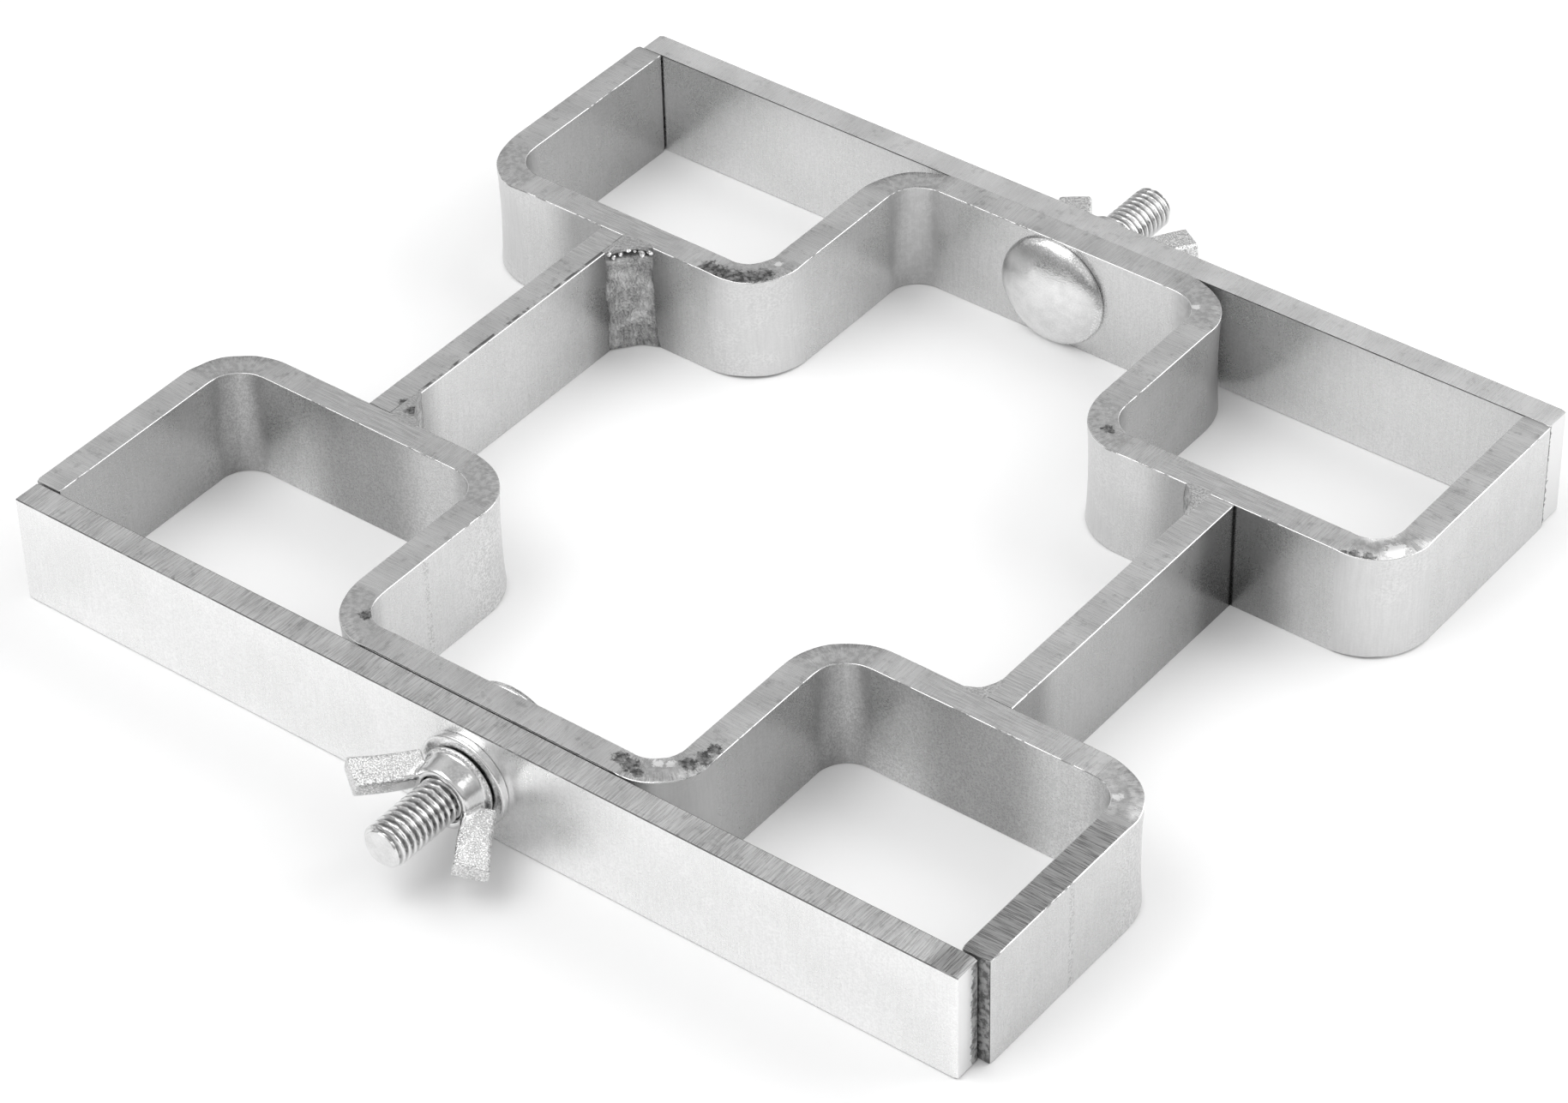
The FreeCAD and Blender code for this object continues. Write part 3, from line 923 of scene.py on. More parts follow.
@dataclass(frozen=True)
class WeldFinish:
    """Weld metal: streaked grey, dark along its rims, with painted highlights on its beads over an
    undercut darkened by painted shade.
    """

    specks: SpeckGroup
    shade: float = 0.42
    roughness: float = 0.40
    relief: float = 0.08 * MM
    relief_strength: float = 0.6
    speck_size: float = 0.5
    cloud_size: float = 3.4
    rim_darkening: float = 0.55
    undercut_painted_shade: float = 0.07
    drop_painted_highlight: float = 0.90
    drop_roughness: float = 0.14
    pit: tuple = (-69.8, -33.6)
    pit_reach: float = 1.9

    def make(self) -> bpy.types.Material:
        """Build the material.

        Returns:
            The material.
        """
        material, nodes, shader = start_material("weld metal")
        spot = nodes.out("ShaderNodeTexCoord", None, "Object")
        x, y, up = nodes.split(nodes.scaled(spot, 1 / MM))
        fine, clouds = self.specks.mottle(nodes, spot, self.speck_size, self.cloud_size)
        # Scratches run steeply down the bead and sway with its clouds
        sway = nodes.line(clouds, 1.6, up * 0.35)
        steep = nodes.xyz((x + sway) * 2.4, y * 2.4, up * 0.45)
        streaks = nodes.remap(nodes.noise(steep, 1.0, 4.0, 0.65), 0.34, 0.66)
        drop = nodes.remap(nodes.attribute("drop"), 0.05, 0.35)
        normal = nodes.out("ShaderNodeNewGeometry", None, "Normal")
        on_top = nodes.remap(nodes.split(normal)[2], 0.85, 0.97)

        shade = nodes.line(clouds, 0.24, self.shade - 0.17)
        shade = nodes.line(streaks, 0.26, shade - 0.07)
        shade = nodes.line(fine, 0.14, shade - 0.04)
        shade = shade * nodes.line(nodes.attribute("rim"), -self.rim_darkening, 1.0)
        # Painted shade darkens the undercut below the bead's top
        shade = nodes.blend(nodes.attribute("dug"), shade, self.undercut_painted_shade)
        # The drops are smooth and shiny, and their colour also carries a painted highlight
        shade = nodes.blend(drop, shade, self.drop_painted_highlight)
        shade = nodes.blend(on_top, shade, nodes.line(streaks, 0.22, 0.40))
        away = nodes.length(x - self.pit[0], y - self.pit[1])
        away = nodes.line(clouds, 1.2, away)
        pit = nodes.remap(away, self.pit_reach + 0.6, self.pit_reach - 0.4) * on_top
        shade = nodes.blend(pit, shade, nodes.line(fine, 0.2, 0.08))

        rough = nodes.line(fine, 0.12, self.roughness - 0.06)
        rough = nodes.blend(drop, rough, self.drop_roughness)
        rough = nodes.blend(on_top, rough, 0.32)
        height = nodes.line(streaks, 0.9, fine * 0.6)
        height = nodes.blend(drop, height, 0.0)
        feed_metal(nodes, shader, shade, rough, height, self.relief, self.relief_strength)
        return material


@dataclass(frozen=True)
class ZincFinish:
    """Bright zinc plate with fine mottle: painted shade in the thread's grooves, flecked round a
    head's rim.

    Within smooth_radius of the bolt's line only smooth_share of the relief shows.
    """

    specks: SpeckGroup
    name: str = "zinc plate"
    shade: float = 0.84
    roughness: float = 0.18
    speck_size: float = 0.35
    speck_depth: float = 0.08
    cloud_height: float = 0.5
    relief: float = 0.02 * MM
    relief_strength: float = 0.5
    smooth_radius: float = 0.0
    smooth_share: float = 1.0
    smooth_edge: float = 0.6 * MM
    groove_radius: float = 4.6 * MM
    groove_painted_shade: float = 0.5
    fleck_radius: float = 11.3 * MM
    fleck_depth: float = 0.22
    thread_from: float = 99 * MM
    thread_to: float = 124.7 * MM
    head_to: float = 90 * MM

    def spans(self, nodes: Nodes, spot: Signal) -> tuple:
        """Return the distance from the bolt's line, and masks of thread and bolt head.

        Args:
            nodes: The material's nodes.
            spot: Place in the frame.

        Returns:
            The distance and the two masks.
        """
        x, y, up = nodes.split(spot)
        beside = x - nodes.math("SIGN", y) * SIZES.set_offset
        radius = nodes.length(beside, 0.0, up - SIZES.bolt_height)
        outwards = abs(y)
        thread = nodes.remap(outwards, self.thread_from, self.thread_from + MM)
        thread = thread * nodes.remap(outwards, self.thread_to, self.thread_to - 0.2 * MM)
        return radius, thread, nodes.remap(outwards, self.head_to, self.head_to - MM)

    def make(self) -> bpy.types.Material:
        """Build the material.

        Returns:
            The material.
        """
        material, nodes, shader = start_material(self.name)
        spot = nodes.out("ShaderNodeTexCoord", None, "Object")
        fine, clouds = self.specks.mottle(nodes, spot, self.speck_size)
        radius, thread, head = self.spans(nodes, spot)
        groove = nodes.remap(radius, self.groove_radius, self.groove_radius - 0.5 * MM) * thread
        fleck = nodes.remap(radius, self.fleck_radius, self.fleck_radius + 0.6 * MM) * head
        fleck = fleck * nodes.remap(fine, 0.55, 0.8)
        low, high = self.smooth_radius - self.smooth_edge, self.smooth_radius + self.smooth_edge
        rugged = nodes.remap(radius, low, high, self.smooth_share, 1.0)

        shade = nodes.line(clouds, 0.08, self.shade - 0.10)
        specks = (fine - 0.5) * (rugged * self.speck_depth)
        shade = shade + nodes.line(fleck, self.fleck_depth, specks)
        # Painted shade darkens the thread's grooves
        shade = shade * nodes.line(groove, -self.groove_painted_shade, 1.0)
        rough = nodes.line(fine, 0.12, self.roughness - 0.06)
        height = nodes.line(clouds, self.cloud_height, fine) * rugged
        feed_metal(nodes, shader, shade, rough, height, self.relief, self.relief_strength)
        return material


@dataclass(frozen=True)
class Finishes:
    """The built materials, by where they go."""

    bar: bpy.types.Material
    front_bar: bpy.types.Material
    rear_bar: bpy.types.Material
    left_web: bpy.types.Material
    weld: bpy.types.Material
    zinc: bpy.types.Material
    forged: bpy.types.Material

    @classmethod
    def build(cls) -> "Finishes":
        """Build every material of the clamp.

        Returns:
            The finishes.
        """
        specks = SpeckGroup()
        grain = GrainGroup()
        return cls(
            bar=BarFinish(grain, marks=BEND_MARKS_AND_HIGHLIGHTS, pocket_side_painted_shade=0.28).make(),
            left_web=BarFinish(
                grain, "bar steel with dark streak", streak=0.85, marks=BEND_MARKS_AND_HIGHLIGHTS,
            ).make(),
            # Painted light: the front bar's sides are much lighter than the strips' steel
            front_bar=BarFinish(
                grain, "sawn clamp bar steel", side_shade=0.87, line_depth=0.24,
                arris_shade=0.2, arris_roughness=0.8, smooth_share=0.68,
                bar_height=24.9 * MM, bar_lift=0.1 * MM,
            ).make(),
            # Painted light: the rear bar's sides and top are lighter than the strips' steel
            rear_bar=BarFinish(
                grain, "clamp bar steel", side_shade=0.74, edge_shade=0.66, line_depth=0.07,
                arris_shade=0.7, smooth_share=0.93, bar_height=24.9 * MM, bar_lift=0.1 * MM,
            ).make(),
            weld=WeldFinish(specks).make(),
            zinc=ZincFinish(specks).make(),
            forged=ZincFinish(
                specks, "zinc plate on forged nut", shade=0.80, roughness=0.13, speck_size=0.32,
                speck_depth=0.55, cloud_height=0.15, relief=0.11 * MM, smooth_radius=7.8 * MM,
                smooth_share=0.12,
            ).make(),
        )


def dress(piece: bpy.types.Object, material: bpy.types.Material | None, body: str,
          node: str) -> None:
    """Give a finished piece its material and tie it to the frame.

    Args:
        piece: The finished piece.
        material: Its material, or None where its mesh has it already.
        body: The body that it moves with.
        node: The node of the frame that it stands for.
    """
    if material is not None:
        piece.data.materials.clear()
        piece.data.materials.append(material)
    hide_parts(node)
    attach(piece, body)
    log.info("%s rides on %s with %d faces", piece.name, body, len(piece.data.polygons))


def stored(nodes: Nodes, geometry: Signal, name: str, value: Signal,
           kind: str = "FLOAT_VECTOR") -> Signal:
    """Keep a value on every point of a geometry under a name.

    Args:
        nodes: The geometry tree's nodes.
        geometry: What carries the value.
        name: The value's name.
        value: The value.
        kind: The value's type.

    Returns:
        The geometry with the value.
    """
    values = {"Geometry": geometry, "Name": name, "Value": value}
    return nodes.out(
        "GeometryNodeStoreNamedAttribute", values, data_type=kind, domain="POINT"
    )


def kept(nodes: Nodes, name: str, kind: str = "FLOAT_VECTOR") -> Signal:
    """Read a value that the points carry under a name."""
    return nodes.out("GeometryNodeInputNamedAttribute", {"Name": name}, data_type=kind)


def drop_attributes(piece: bpy.types.Object, names: tuple) -> None:
    """Remove values that a finished piece no longer needs.

    Args:
        piece: The piece.
        names: The values' names.
    """
    for name in names:
        attribute = piece.data.attributes.get(name)
        if attribute:
            piece.data.attributes.remove(attribute)


class RolledBarTree:
    """Flat bar on edge that follows a path and is bent at its corners.

    At each bend the outer side thins and drops, the inner side keeps its
    height, and the outer face is drawn in at half height.
    """

    def __init__(self) -> None:
        """Build the geometry tree once."""
        tree, nodes, asked, result = new_group(
            "Rolled bar",
            "GeometryNodeTree",
            {
                "Path": GEOMETRY,
                "Section": OBJECT,
                "Cutter": OBJECT,
                "Bend Radius": real(10.175 * MM),
                "Step": real(0.8 * MM),
                "Outer Drop": real(0.45 * MM),
                "Inner Dip": real(0.2 * MM),
                "Waist": real(0.4 * MM),
                "Bend Lumps": real(0.22 * MM),
                "End Break": real(0.2 * MM),
                "Skin Wander": real(0.05 * MM),
                "Finish": MATERIAL,
            },
            {"Bar": GEOMETRY},
        )
        self.tree = tree
        self.nodes = nodes
        curve = nodes.out("GeometryNodeMeshToCurve", {"Mesh": asked["Path"]})
        curve = nodes.out(
            "GeometryNodeFilletCurve",
            {"Curve": curve, "Count": 16, "Radius": asked["Bend Radius"], "Limit Radius": True},
            mode="POLY",
        )
        curve = nodes.out(
            "GeometryNodeResampleCurve", {"Curve": curve, "Length": asked["Step"]}, mode="LENGTH"
        )
        curve = self.with_path_values(curve, asked)
        section = nodes.out("GeometryNodeObjectInfo", {"Object": asked["Section"]}, "Geometry")
        section = nodes.out("GeometryNodeMeshToCurve", {"Mesh": section})
        place = nodes.out("GeometryNodeInputPosition")
        section = stored(nodes, section, "section", place)
        bar = nodes.out(
            "GeometryNodeCurveToMesh",
            {"Curve": curve, "Profile Curve": section, "Fill Caps": True},
        )
        bar = self.shaped(bar, asked)
        cutter = nodes.out("GeometryNodeObjectInfo", {"Object": asked["Cutter"]}, "Geometry")
        bar = nodes.out(
            "GeometryNodeMeshBoolean", {"Mesh 1": bar, "Mesh 2": cutter}, operation="DIFFERENCE"
        )
        bar = nodes.out("GeometryNodeRealizeInstances", {"Geometry": bar})
        bar = nodes.out(
            "GeometryNodeSetMaterial", {"Geometry": bar, "Material": asked["Finish"]}
        )
        nodes.feed(result.inputs["Bar"], bar)

    def with_path_values(self, curve: Signal, asked: dict) -> Signal:
        """Keep where each ring lies, which way it heads and how sharply it turns.

        Args:
            curve: The evenly divided path.
            asked: The tree's inputs.

        Returns:
            The path with its values.
        """
        nodes = self.nodes
        heading = nodes.out("GeometryNodeInputTangent")
        index = nodes.out("GeometryNodeInputIndex")
        beside = [
            nodes.out(
                "GeometryNodeFieldAtIndex",
                {"Index": index + step, "Value": heading},
                data_type="FLOAT_VECTOR",
                domain="POINT",
            )
            for step in (-1.0, 1.0)
        ]
        swing = nodes.split(nodes.vector("CROSS_PRODUCT", *beside))[2]
        full = asked["Step"] * 2.0 / asked["Bend Radius"]
        turn = nodes.out(
            "GeometryNodeBlurAttribute", {"Value": swing / full, "Iterations": 5},
            data_type="FLOAT",
        )
        length = nodes.out("GeometryNodeSplineParameter", None, "Length")
        total = nodes.out("GeometryNodeSplineLength", None, "Length")
        to_end = nodes.math("MINIMUM", length, total - length)
        place = nodes.out("GeometryNodeInputPosition")
        curve = stored(nodes, curve, "turn", turn, "FLOAT")
        curve = stored(nodes, curve, "heading", heading)
        curve = stored(nodes, curve, "centre", place)
        curve = stored(nodes, curve, "to_end", to_end, "FLOAT")
        return stored(nodes, curve, "run", length, "FLOAT")

    def shaped(self, bar: Signal, asked: dict) -> Signal:
        """Set every point from its path and section values.

        Args:
            bar: The swept bar.
            asked: The tree's inputs.

        Returns:
            The bar with its worked bends, broken ends and slightly wandering skin.
        """
        nodes = self.nodes
        across, up, _ = nodes.split(kept(nodes, "section"))
        turn = kept(nodes, "turn", "FLOAT")
        half = SIZES.half_thickness
        level = nodes.line(up, 2 / SIZES.width, -1.0)
        lean = across / half * turn
        outer = nodes.math("MAXIMUM", lean, 0.0)
        inner = nodes.math("MAXIMUM", lean * -1.0, 0.0)
        hollow = inner * (1.0 - inner) * (turn * turn)
        drop = outer * outer * asked["Outer Drop"]
        dip = hollow * 4.0 * asked["Inner Dip"]
        lowered = (drop + dip) * level
        bow = 1.0 - level * level
        drawn_in = turn * outer * asked["Waist"] * bow

        near_end = kept(nodes, "to_end", "FLOAT") / asked["Step"]
        broken = nodes.remap(near_end, 0.9, 0.0, smooth=False) * asked["End Break"]
        across = across * (1.0 - broken / half) - drawn_in
        up = up - lowered
        # A tight bend leaves the bar's edges lumpy
        heading = kept(nodes, "heading")
        aside = nodes.vector("NORMALIZE", nodes.vector("CROSS_PRODUCT", heading, (0, 0, 1)))
        flat_spot = nodes.vector("ADD", kept(nodes, "centre"), nodes.scaled(aside, across))
        lumps = nodes.remap(nodes.noise(flat_spot, 150.0, 1.0), 0.35, 0.7)
        lumps = lumps * (turn * turn) * level
        up = nodes.line(lumps, asked["Bend Lumps"] * -1.0, up)
        up = up - broken * level

        spot = nodes.vector("ADD", flat_spot, nodes.xyz(0.0, 0.0, up))
        bar = nodes.out("GeometryNodeSetPosition", {"Geometry": bar, "Position": spot})
        section_x, section_y, _ = nodes.split(kept(nodes, "section"))
        lay = nodes.xyz(kept(nodes, "run", "FLOAT"), section_x, section_y)
        bar = stored(nodes, bar, "lay", lay)

        # The swept faces still point inwards here
        skin = nodes.noise(nodes.out("GeometryNodeInputPosition"), 260.0, 2.0)
        normal = nodes.out("GeometryNodeInputNormal")
        offset = nodes.scaled(normal, skin * asked["Skin Wander"])
        return nodes.out("GeometryNodeSetPosition", {"Geometry": bar, "Offset": offset})


@dataclass
class BarStock:
    """Cross-sections and cutters that rolled bars are made with."""

    tree: RolledBarTree
    finish: bpy.types.Material
    arris_radius: float = 0.17 * MM
    arris_steps: int = 4
    rest: float = 0.25 * MM
    wall_steps: int = 8
    top_steps: int = 6
    bend_line: float = SIZES.bend_radius + SIZES.half_thickness

    def spread(self, start: float, stop: float, count: int) -> list:
        """Places from start to stop, with one just inside each end.

        Args:
            start: First place, which is left out.
            stop: Last place, which is left out.
            count: How many parts the middle has.

        Returns:
            The places in order.
        """
        rest = math.copysign(self.rest, stop - start)
        low, high = start + rest, stop - rest
        return [low + (high - low) * i / count for i in range(count + 1)]

    def section(self, name: str, width: float, lift: float) -> bpy.types.Object:
        """Draw the bar's section with rounded arrises.

        Args:
            name: The object's name.
            width: Height of the bar on edge.
            lift: Height of its lower edge.

        Returns:
            A closed line in the XY plane: X across the bar, Y up.
        """
        half, arris = SIZES.half_thickness, self.arris_radius
        low, high = lift, lift + width
        centres = [
            (half - arris, low + arris, -90.0),
            (half - arris, high - arris, 0.0),
            (-half + arris, high - arris, 90.0),
            (-half + arris, low + arris, 180.0),
        ]
        points = []
        for number, (x, y, start) in enumerate(centres):
            corner = arc_points(x, y, arris, start, start + 90.0, self.arris_steps)
            arc = [(*spot, 0.0) for spot in corner]
            points += arc
            after_x, after_y, _ = centres[(number + 1) % 4]
            if number % 2 == 0:
                side = arc[-1][0]
                points += [(side, place, 0.0) for place in self.spread(y, after_y, self.wall_steps)]
            else:
                edge = arc[-1][1]
                points += [(place, edge, 0.0) for place in self.spread(x, after_x, self.top_steps)]
        return add_object(name, line_mesh(name, points, closed=True))

    def bar(self, name: str, corners: list, width: float, lift: float, cutter: bpy.types.Object,
            place: Matrix, **changes: float) -> bpy.types.Object:
        """Sweep a bar along its path.

        Args:
            name: The piece's name.
            corners: The path's corners on the floor plane.
            width: Height of the bar on edge.
            lift: Height of its lower edge.
            cutter: What is cut out of it.
            place: Matrix applied to the result.
            changes: Further inputs of the tree, with underscores for spaces.

        Returns:
            The finished bar.
        """
        section = self.section(name + "_section", width, lift)
        values = {
            "Section": section,
            "Cutter": cutter,
            "Bend Radius": self.bend_line,
            "Finish": self.finish,
        }
        values.update({key.replace("_", " "): value for key, value in changes.items()})
        path = line_mesh(name + "_path", [(x, y, 0.0) for x, y in corners])
        piece = run_tree(name, path, self.tree.tree, values, place)
        bpy.data.objects.remove(section)
        bpy.data.objects.remove(cutter)
        drop_attributes(piece, ("section", "heading", "centre", "to_end", "run"))
        return piece


def lofted(name: str, shape: bmesh.types.BMesh, rings: list) -> bpy.types.Mesh:
    """Close a stack of equal rings of vertices into a solid mesh.

    Args:
        name: The mesh's name.
        shape: The bmesh that holds the vertices, which is freed.
        rings: Rings of vertices, from one end to the other.

    Returns:
        The mesh, with its faces outwards.
    """
    count = len(rings[0])
    for first, second in zip(rings, rings[1:]):
        for j in range(count):
            k = (j + 1) % count
            shape.faces.new((first[j], first[k], second[k], second[j]))
    shape.faces.new(rings[0][::-1])
    shape.faces.new(rings[-1])
    bmesh.ops.recalc_face_normals(shape, faces=shape.faces)
    mesh = bpy.data.meshes.new(name)
    shape.to_mesh(mesh)
    shape.free()
    return mesh


def prism(name: str, outline: list, low: float, high: float,
          standing: bool = True) -> bpy.types.Object:
    """Make a closed prism to cut with.

    Args:
        name: The object's name.
        outline: Corners of its section, anticlockwise.
        low: Where it starts along its axis.
        high: Where it ends.
        standing: Whether it stands along Z, or lies along Y with its section in X and Z.

    Returns:
        The prism.
    """
    shape = bmesh.new()
    rings = [
        [shape.verts.new((x, y, level) if standing else (x, level, y)) for x, y in outline]
        for level in (low, high)
    ]
    return add_object(name, lofted(name, shape, rings))


@dataclass
class BentStrip:
    """One strip of bar, bent six times into two pockets and a recess."""

    end: End
    stock: BarStock
    hole_side: float = 9.725 * MM
    end_gap: float = 0.22 * MM

    def build(self) -> bpy.types.Object:
        """Bend the strip and tie it to the frame.

        Returns:
            The strip.
        """
        name = self.end.prefix + "_strip"
        leg, strip = SIZES.leg_line, SIZES.strip_line
        inner, mid = SIZES.return_line, SIZES.mid_line
        tip = SIZES.bar_face - self.end_gap
        corners = [
            (-leg, -tip), (-leg, -strip), (-inner, -strip), (-inner, -mid),
            (inner, -mid), (inner, -strip), (leg, -strip), (leg, -tip),
        ]
        half, height = self.hole_side / 2, SIZES.bolt_height
        low, high = height - half, height + half
        square = [(-half, low), (half, low), (half, high), (-half, high)]
        near, far = -mid - SIZES.thickness, -mid + SIZES.thickness
        cutter = prism(name + "_hole", square, near, far, standing=False)
        piece = self.stock.bar(name, corners, SIZES.width, 0.0, cutter, SIZES.end_matrix(self.end))
        dress(piece, None, "frame", name)
        return piece


@dataclass
class ClampBar:
    """A straight bar that closes two pockets."""

    end: End
    stock: BarStock
    length: float
    shift: float
    width: float = 24.9 * MM
    lift: float = 0.1 * MM
    hole_radius: float = 5.1625 * MM

    def build(self) -> bpy.types.Object:
        """Cut the bar to length and tie it to its body.

        Returns:
            The bar.
        """
        name = self.end.prefix + "_bar"
        line = -SIZES.bar_face - SIZES.half_thickness
        shift = -self.shift * self.end.value
        corners = [(shift - self.length / 2, line), (shift + self.length / 2, line)]
        hole = ring_points(self.hole_radius, 48, 0.0, SIZES.bolt_height)
        near, far = line - SIZES.thickness, line + SIZES.thickness
        cutter = prism(name + "_hole", hole, near, far, standing=False)
        piece = self.stock.bar(
            name, corners, self.width, self.lift, cutter, SIZES.end_matrix(self.end), Step=1.0 * MM
        )
        dress(piece, None, self.end.prefix + "_clamp_bar", name)
        return piece


@dataclass
class Web:
    """A straight bar between the two strips."""

    name: str
    x: float
    stock: BarStock

    def build(self) -> bpy.types.Object:
        """Cut the web and tie it to the frame.

        Returns:
            The web.
        """
        corners = [(self.x, -SIZES.web_half), (self.x, SIZES.web_half)]
        away = 4 * SIZES.leg_line
        cutter = prism(self.name + "_none", ring_points(MM, 4, away, away), 0.0, MM)
        piece = self.stock.bar(
            self.name, corners, SIZES.width, 0.0, cutter, Matrix.Identity(4), End_Break=0.0
        )
        dress(piece, None, "frame", self.name)
        return piece


class TurnedTree:
    """A turned piece, with a rolled thread where its profile asks for one."""

    def __init__(self) -> None:
        """Build the geometry tree once."""
        tree, nodes, asked, result = new_group(
            "Turned piece",
            "GeometryNodeTree",
            {
                "Profile": GEOMETRY,
                "Segments": whole(72),
                "Thread Radius": real(4.7 * MM),
                "Thread Depth": real(0.9 * MM),
                "Thread Pitch": real(1.5875 * MM),
                "Thread Start": real(1.0),
                "Finish": MATERIAL,
            },
            {"Piece": GEOMETRY},
        )
        place = nodes.out("GeometryNodeInputPosition")
        profile = nodes.out("GeometryNodeMeshToCurve", {"Mesh": asked["Profile"]})
        profile = stored(nodes, profile, "profile", place)
        ring = nodes.out(
            "GeometryNodeCurvePrimitiveCircle", {"Resolution": asked["Segments"], "Radius": 1.0}
        )
        x, y, _ = nodes.split(place)
        ring = stored(nodes, ring, "angle", nodes.math("ARCTAN2", y, x), "FLOAT")
        piece = nodes.out("GeometryNodeCurveToMesh", {"Curve": ring, "Profile Curve": profile})
        angle = kept(nodes, "angle", "FLOAT")
        radius, height, _ = nodes.split(kept(nodes, "profile"))
        share = nodes.math("FRACT", height / asked["Thread Pitch"] - angle / FULL_TURN)
        flank = nodes.remap(abs(nodes.line(share, 2.0, -1.0)), 0.16, 0.88)
        bottom = asked["Thread Radius"] - flank * asked["Thread Depth"]
        threaded = nodes.math("MINIMUM", radius, bottom)
        radius = nodes.blend(height > asked["Thread Start"], radius, threaded)
        cosine, sine = nodes.math("COSINE", angle), nodes.math("SINE", angle)
        spot = nodes.xyz(radius * cosine, radius * sine, height)
        piece = nodes.out("GeometryNodeSetPosition", {"Geometry": piece, "Position": spot})
        piece = nodes.out(
            "GeometryNodeMergeByDistance", {"Geometry": piece, "Distance": 0.002 * MM}
        )
        piece = nodes.out("GeometryNodeRealizeInstances", {"Geometry": piece})
        piece = nodes.out(
            "GeometryNodeSetMaterial", {"Geometry": piece, "Material": asked["Finish"]}
        )
        nodes.feed(result.inputs["Piece"], piece)
        self.tree = tree


def turned(name: str, profile: list, closed: bool, tree: TurnedTree, finish: bpy.types.Material,
           place: Matrix, **values: float) -> bpy.types.Object:
    """Turn a profile of radius and height pairs about its own Z axis.

    Args:
        name: The piece's name.
        profile: Pairs of radius and height.
        closed: Whether the profile is a closed loop off the axis.
        tree: The geometry tree.
        finish: The piece's material.
        place: Matrix from the piece's own axes to the frame.
        values: Further inputs of the tree, with underscores for spaces.

    Returns:
        The finished piece.
    """
    inputs = {"Finish": finish}
    inputs.update({key.replace("_", " "): value for key, value in values.items()})
    points = [(radius, height, 0.0) for radius, height in profile]
    mesh = line_mesh(name + "_profile", points, closed)
    piece = run_tree(name, mesh, tree.tree, inputs, place, 34.0)
    drop_attributes(piece, ("profile", "angle"))
    return piece


@dataclass
class StepBolt:
    """A low domed head, a shank and a rolled thread with a chamfered point."""

    end: End
    tree: TurnedTree
    finish: bpy.types.Material
    radius: float = 4.74 * MM
    depth: float = 0.94 * MM
    pitch: float = 1.5875 * MM
    length: float = 37.28 * MM
    point: float = 0.95 * MM
    thread_start: float = 6.0 * MM
    head_radius: float = 12.58 * MM
    head_height: float = 4.95 * MM
    head_rim: float = 0.95 * MM
    seat: float = 87.88 * MM
    row_gap: float = 0.16 * MM
    crown_press: float = 0.5
    end_rings: int = 5

    def flattened(self, radius: float, height: float, rise: float) -> float:
        """Return how far the dome is pressed towards a flatter crown with a steeper shoulder.

        Args:
            radius: Distance from the bolt's line.
            height: The sphere's height there, negative away from the seat.
            rise: How far the crown stands above the rim.

        Returns:
            The shift along the bolt, negative away from the seat.
        """
        shoulder = -self.head_rim - rise * math.sqrt(max(0.0, 1 - (radius / self.head_radius) ** 2))
        return self.crown_press * (shoulder - height)

    def profile(self) -> list:
        """Radius and height from the head's crown to the point's centre.

        Returns:
            The pairs in order.
        """
        rise = self.head_height - self.head_rim
        dome = (self.head_radius ** 2 + rise ** 2) / (2 * rise)
        reach = math.degrees(math.asin(self.head_radius / dome))
        edge = 0.35 * MM
        cap = arc_points(0.0, dome - self.head_height, dome, -90.0, -90.0 + reach * 0.97, 24)
        points = [(radius, height + self.flattened(radius, height, rise)) for radius, height in cap]
        points += arc_points(self.head_radius - edge, -self.head_rim + edge, edge, -50.0, 0.0, 4)
        points += arc_points(self.head_radius - edge, -edge, edge, 0.0, 90.0, 4)
        points += [(self.radius, 0.0)]
        rows = int((self.length - self.point) / self.row_gap)
        shoulder = self.length - self.point
        points += [(self.radius, shoulder * (i + 1) / rows) for i in range(rows)]
        tip = self.radius - self.point
        cuts = [self.point * i / 6 for i in range(1, 6)]
        points += [(self.radius - cut, shoulder + cut) for cut in cuts]
        points += [(tip, self.length), (tip - 0.15 * MM, self.length)]
        # Faint rings and a small dimple are left on the end
        for i in range(self.end_rings):
            points += [(tip - (0.3 + 0.22 * i) * MM, self.length - 0.05 * MM * (i % 2))]
        points += [(2.2 * MM, self.length), (1.4 * MM, self.length - 0.03 * MM)]
        points += [(0.8 * MM, self.length - 0.12 * MM), (0.35 * MM, self.length - 0.2 * MM)]
        points += [(0.0, self.length - 0.22 * MM)]
        return points

    def build(self) -> bpy.types.Object:
        """Turn the bolt and tie it to the frame.

        Returns:
            The bolt.
        """
        name = self.end.prefix + "_bolt"
        place = SIZES.bolt_matrix(self.end, self.seat)
        piece = turned(
            name, self.profile(), False, self.tree, self.finish, place,
            Thread_Radius=self.radius, Thread_Depth=self.depth, Thread_Pitch=self.pitch,
            Thread_Start=self.thread_start,
        )
        dress(piece, None, "frame", name)
        return piece


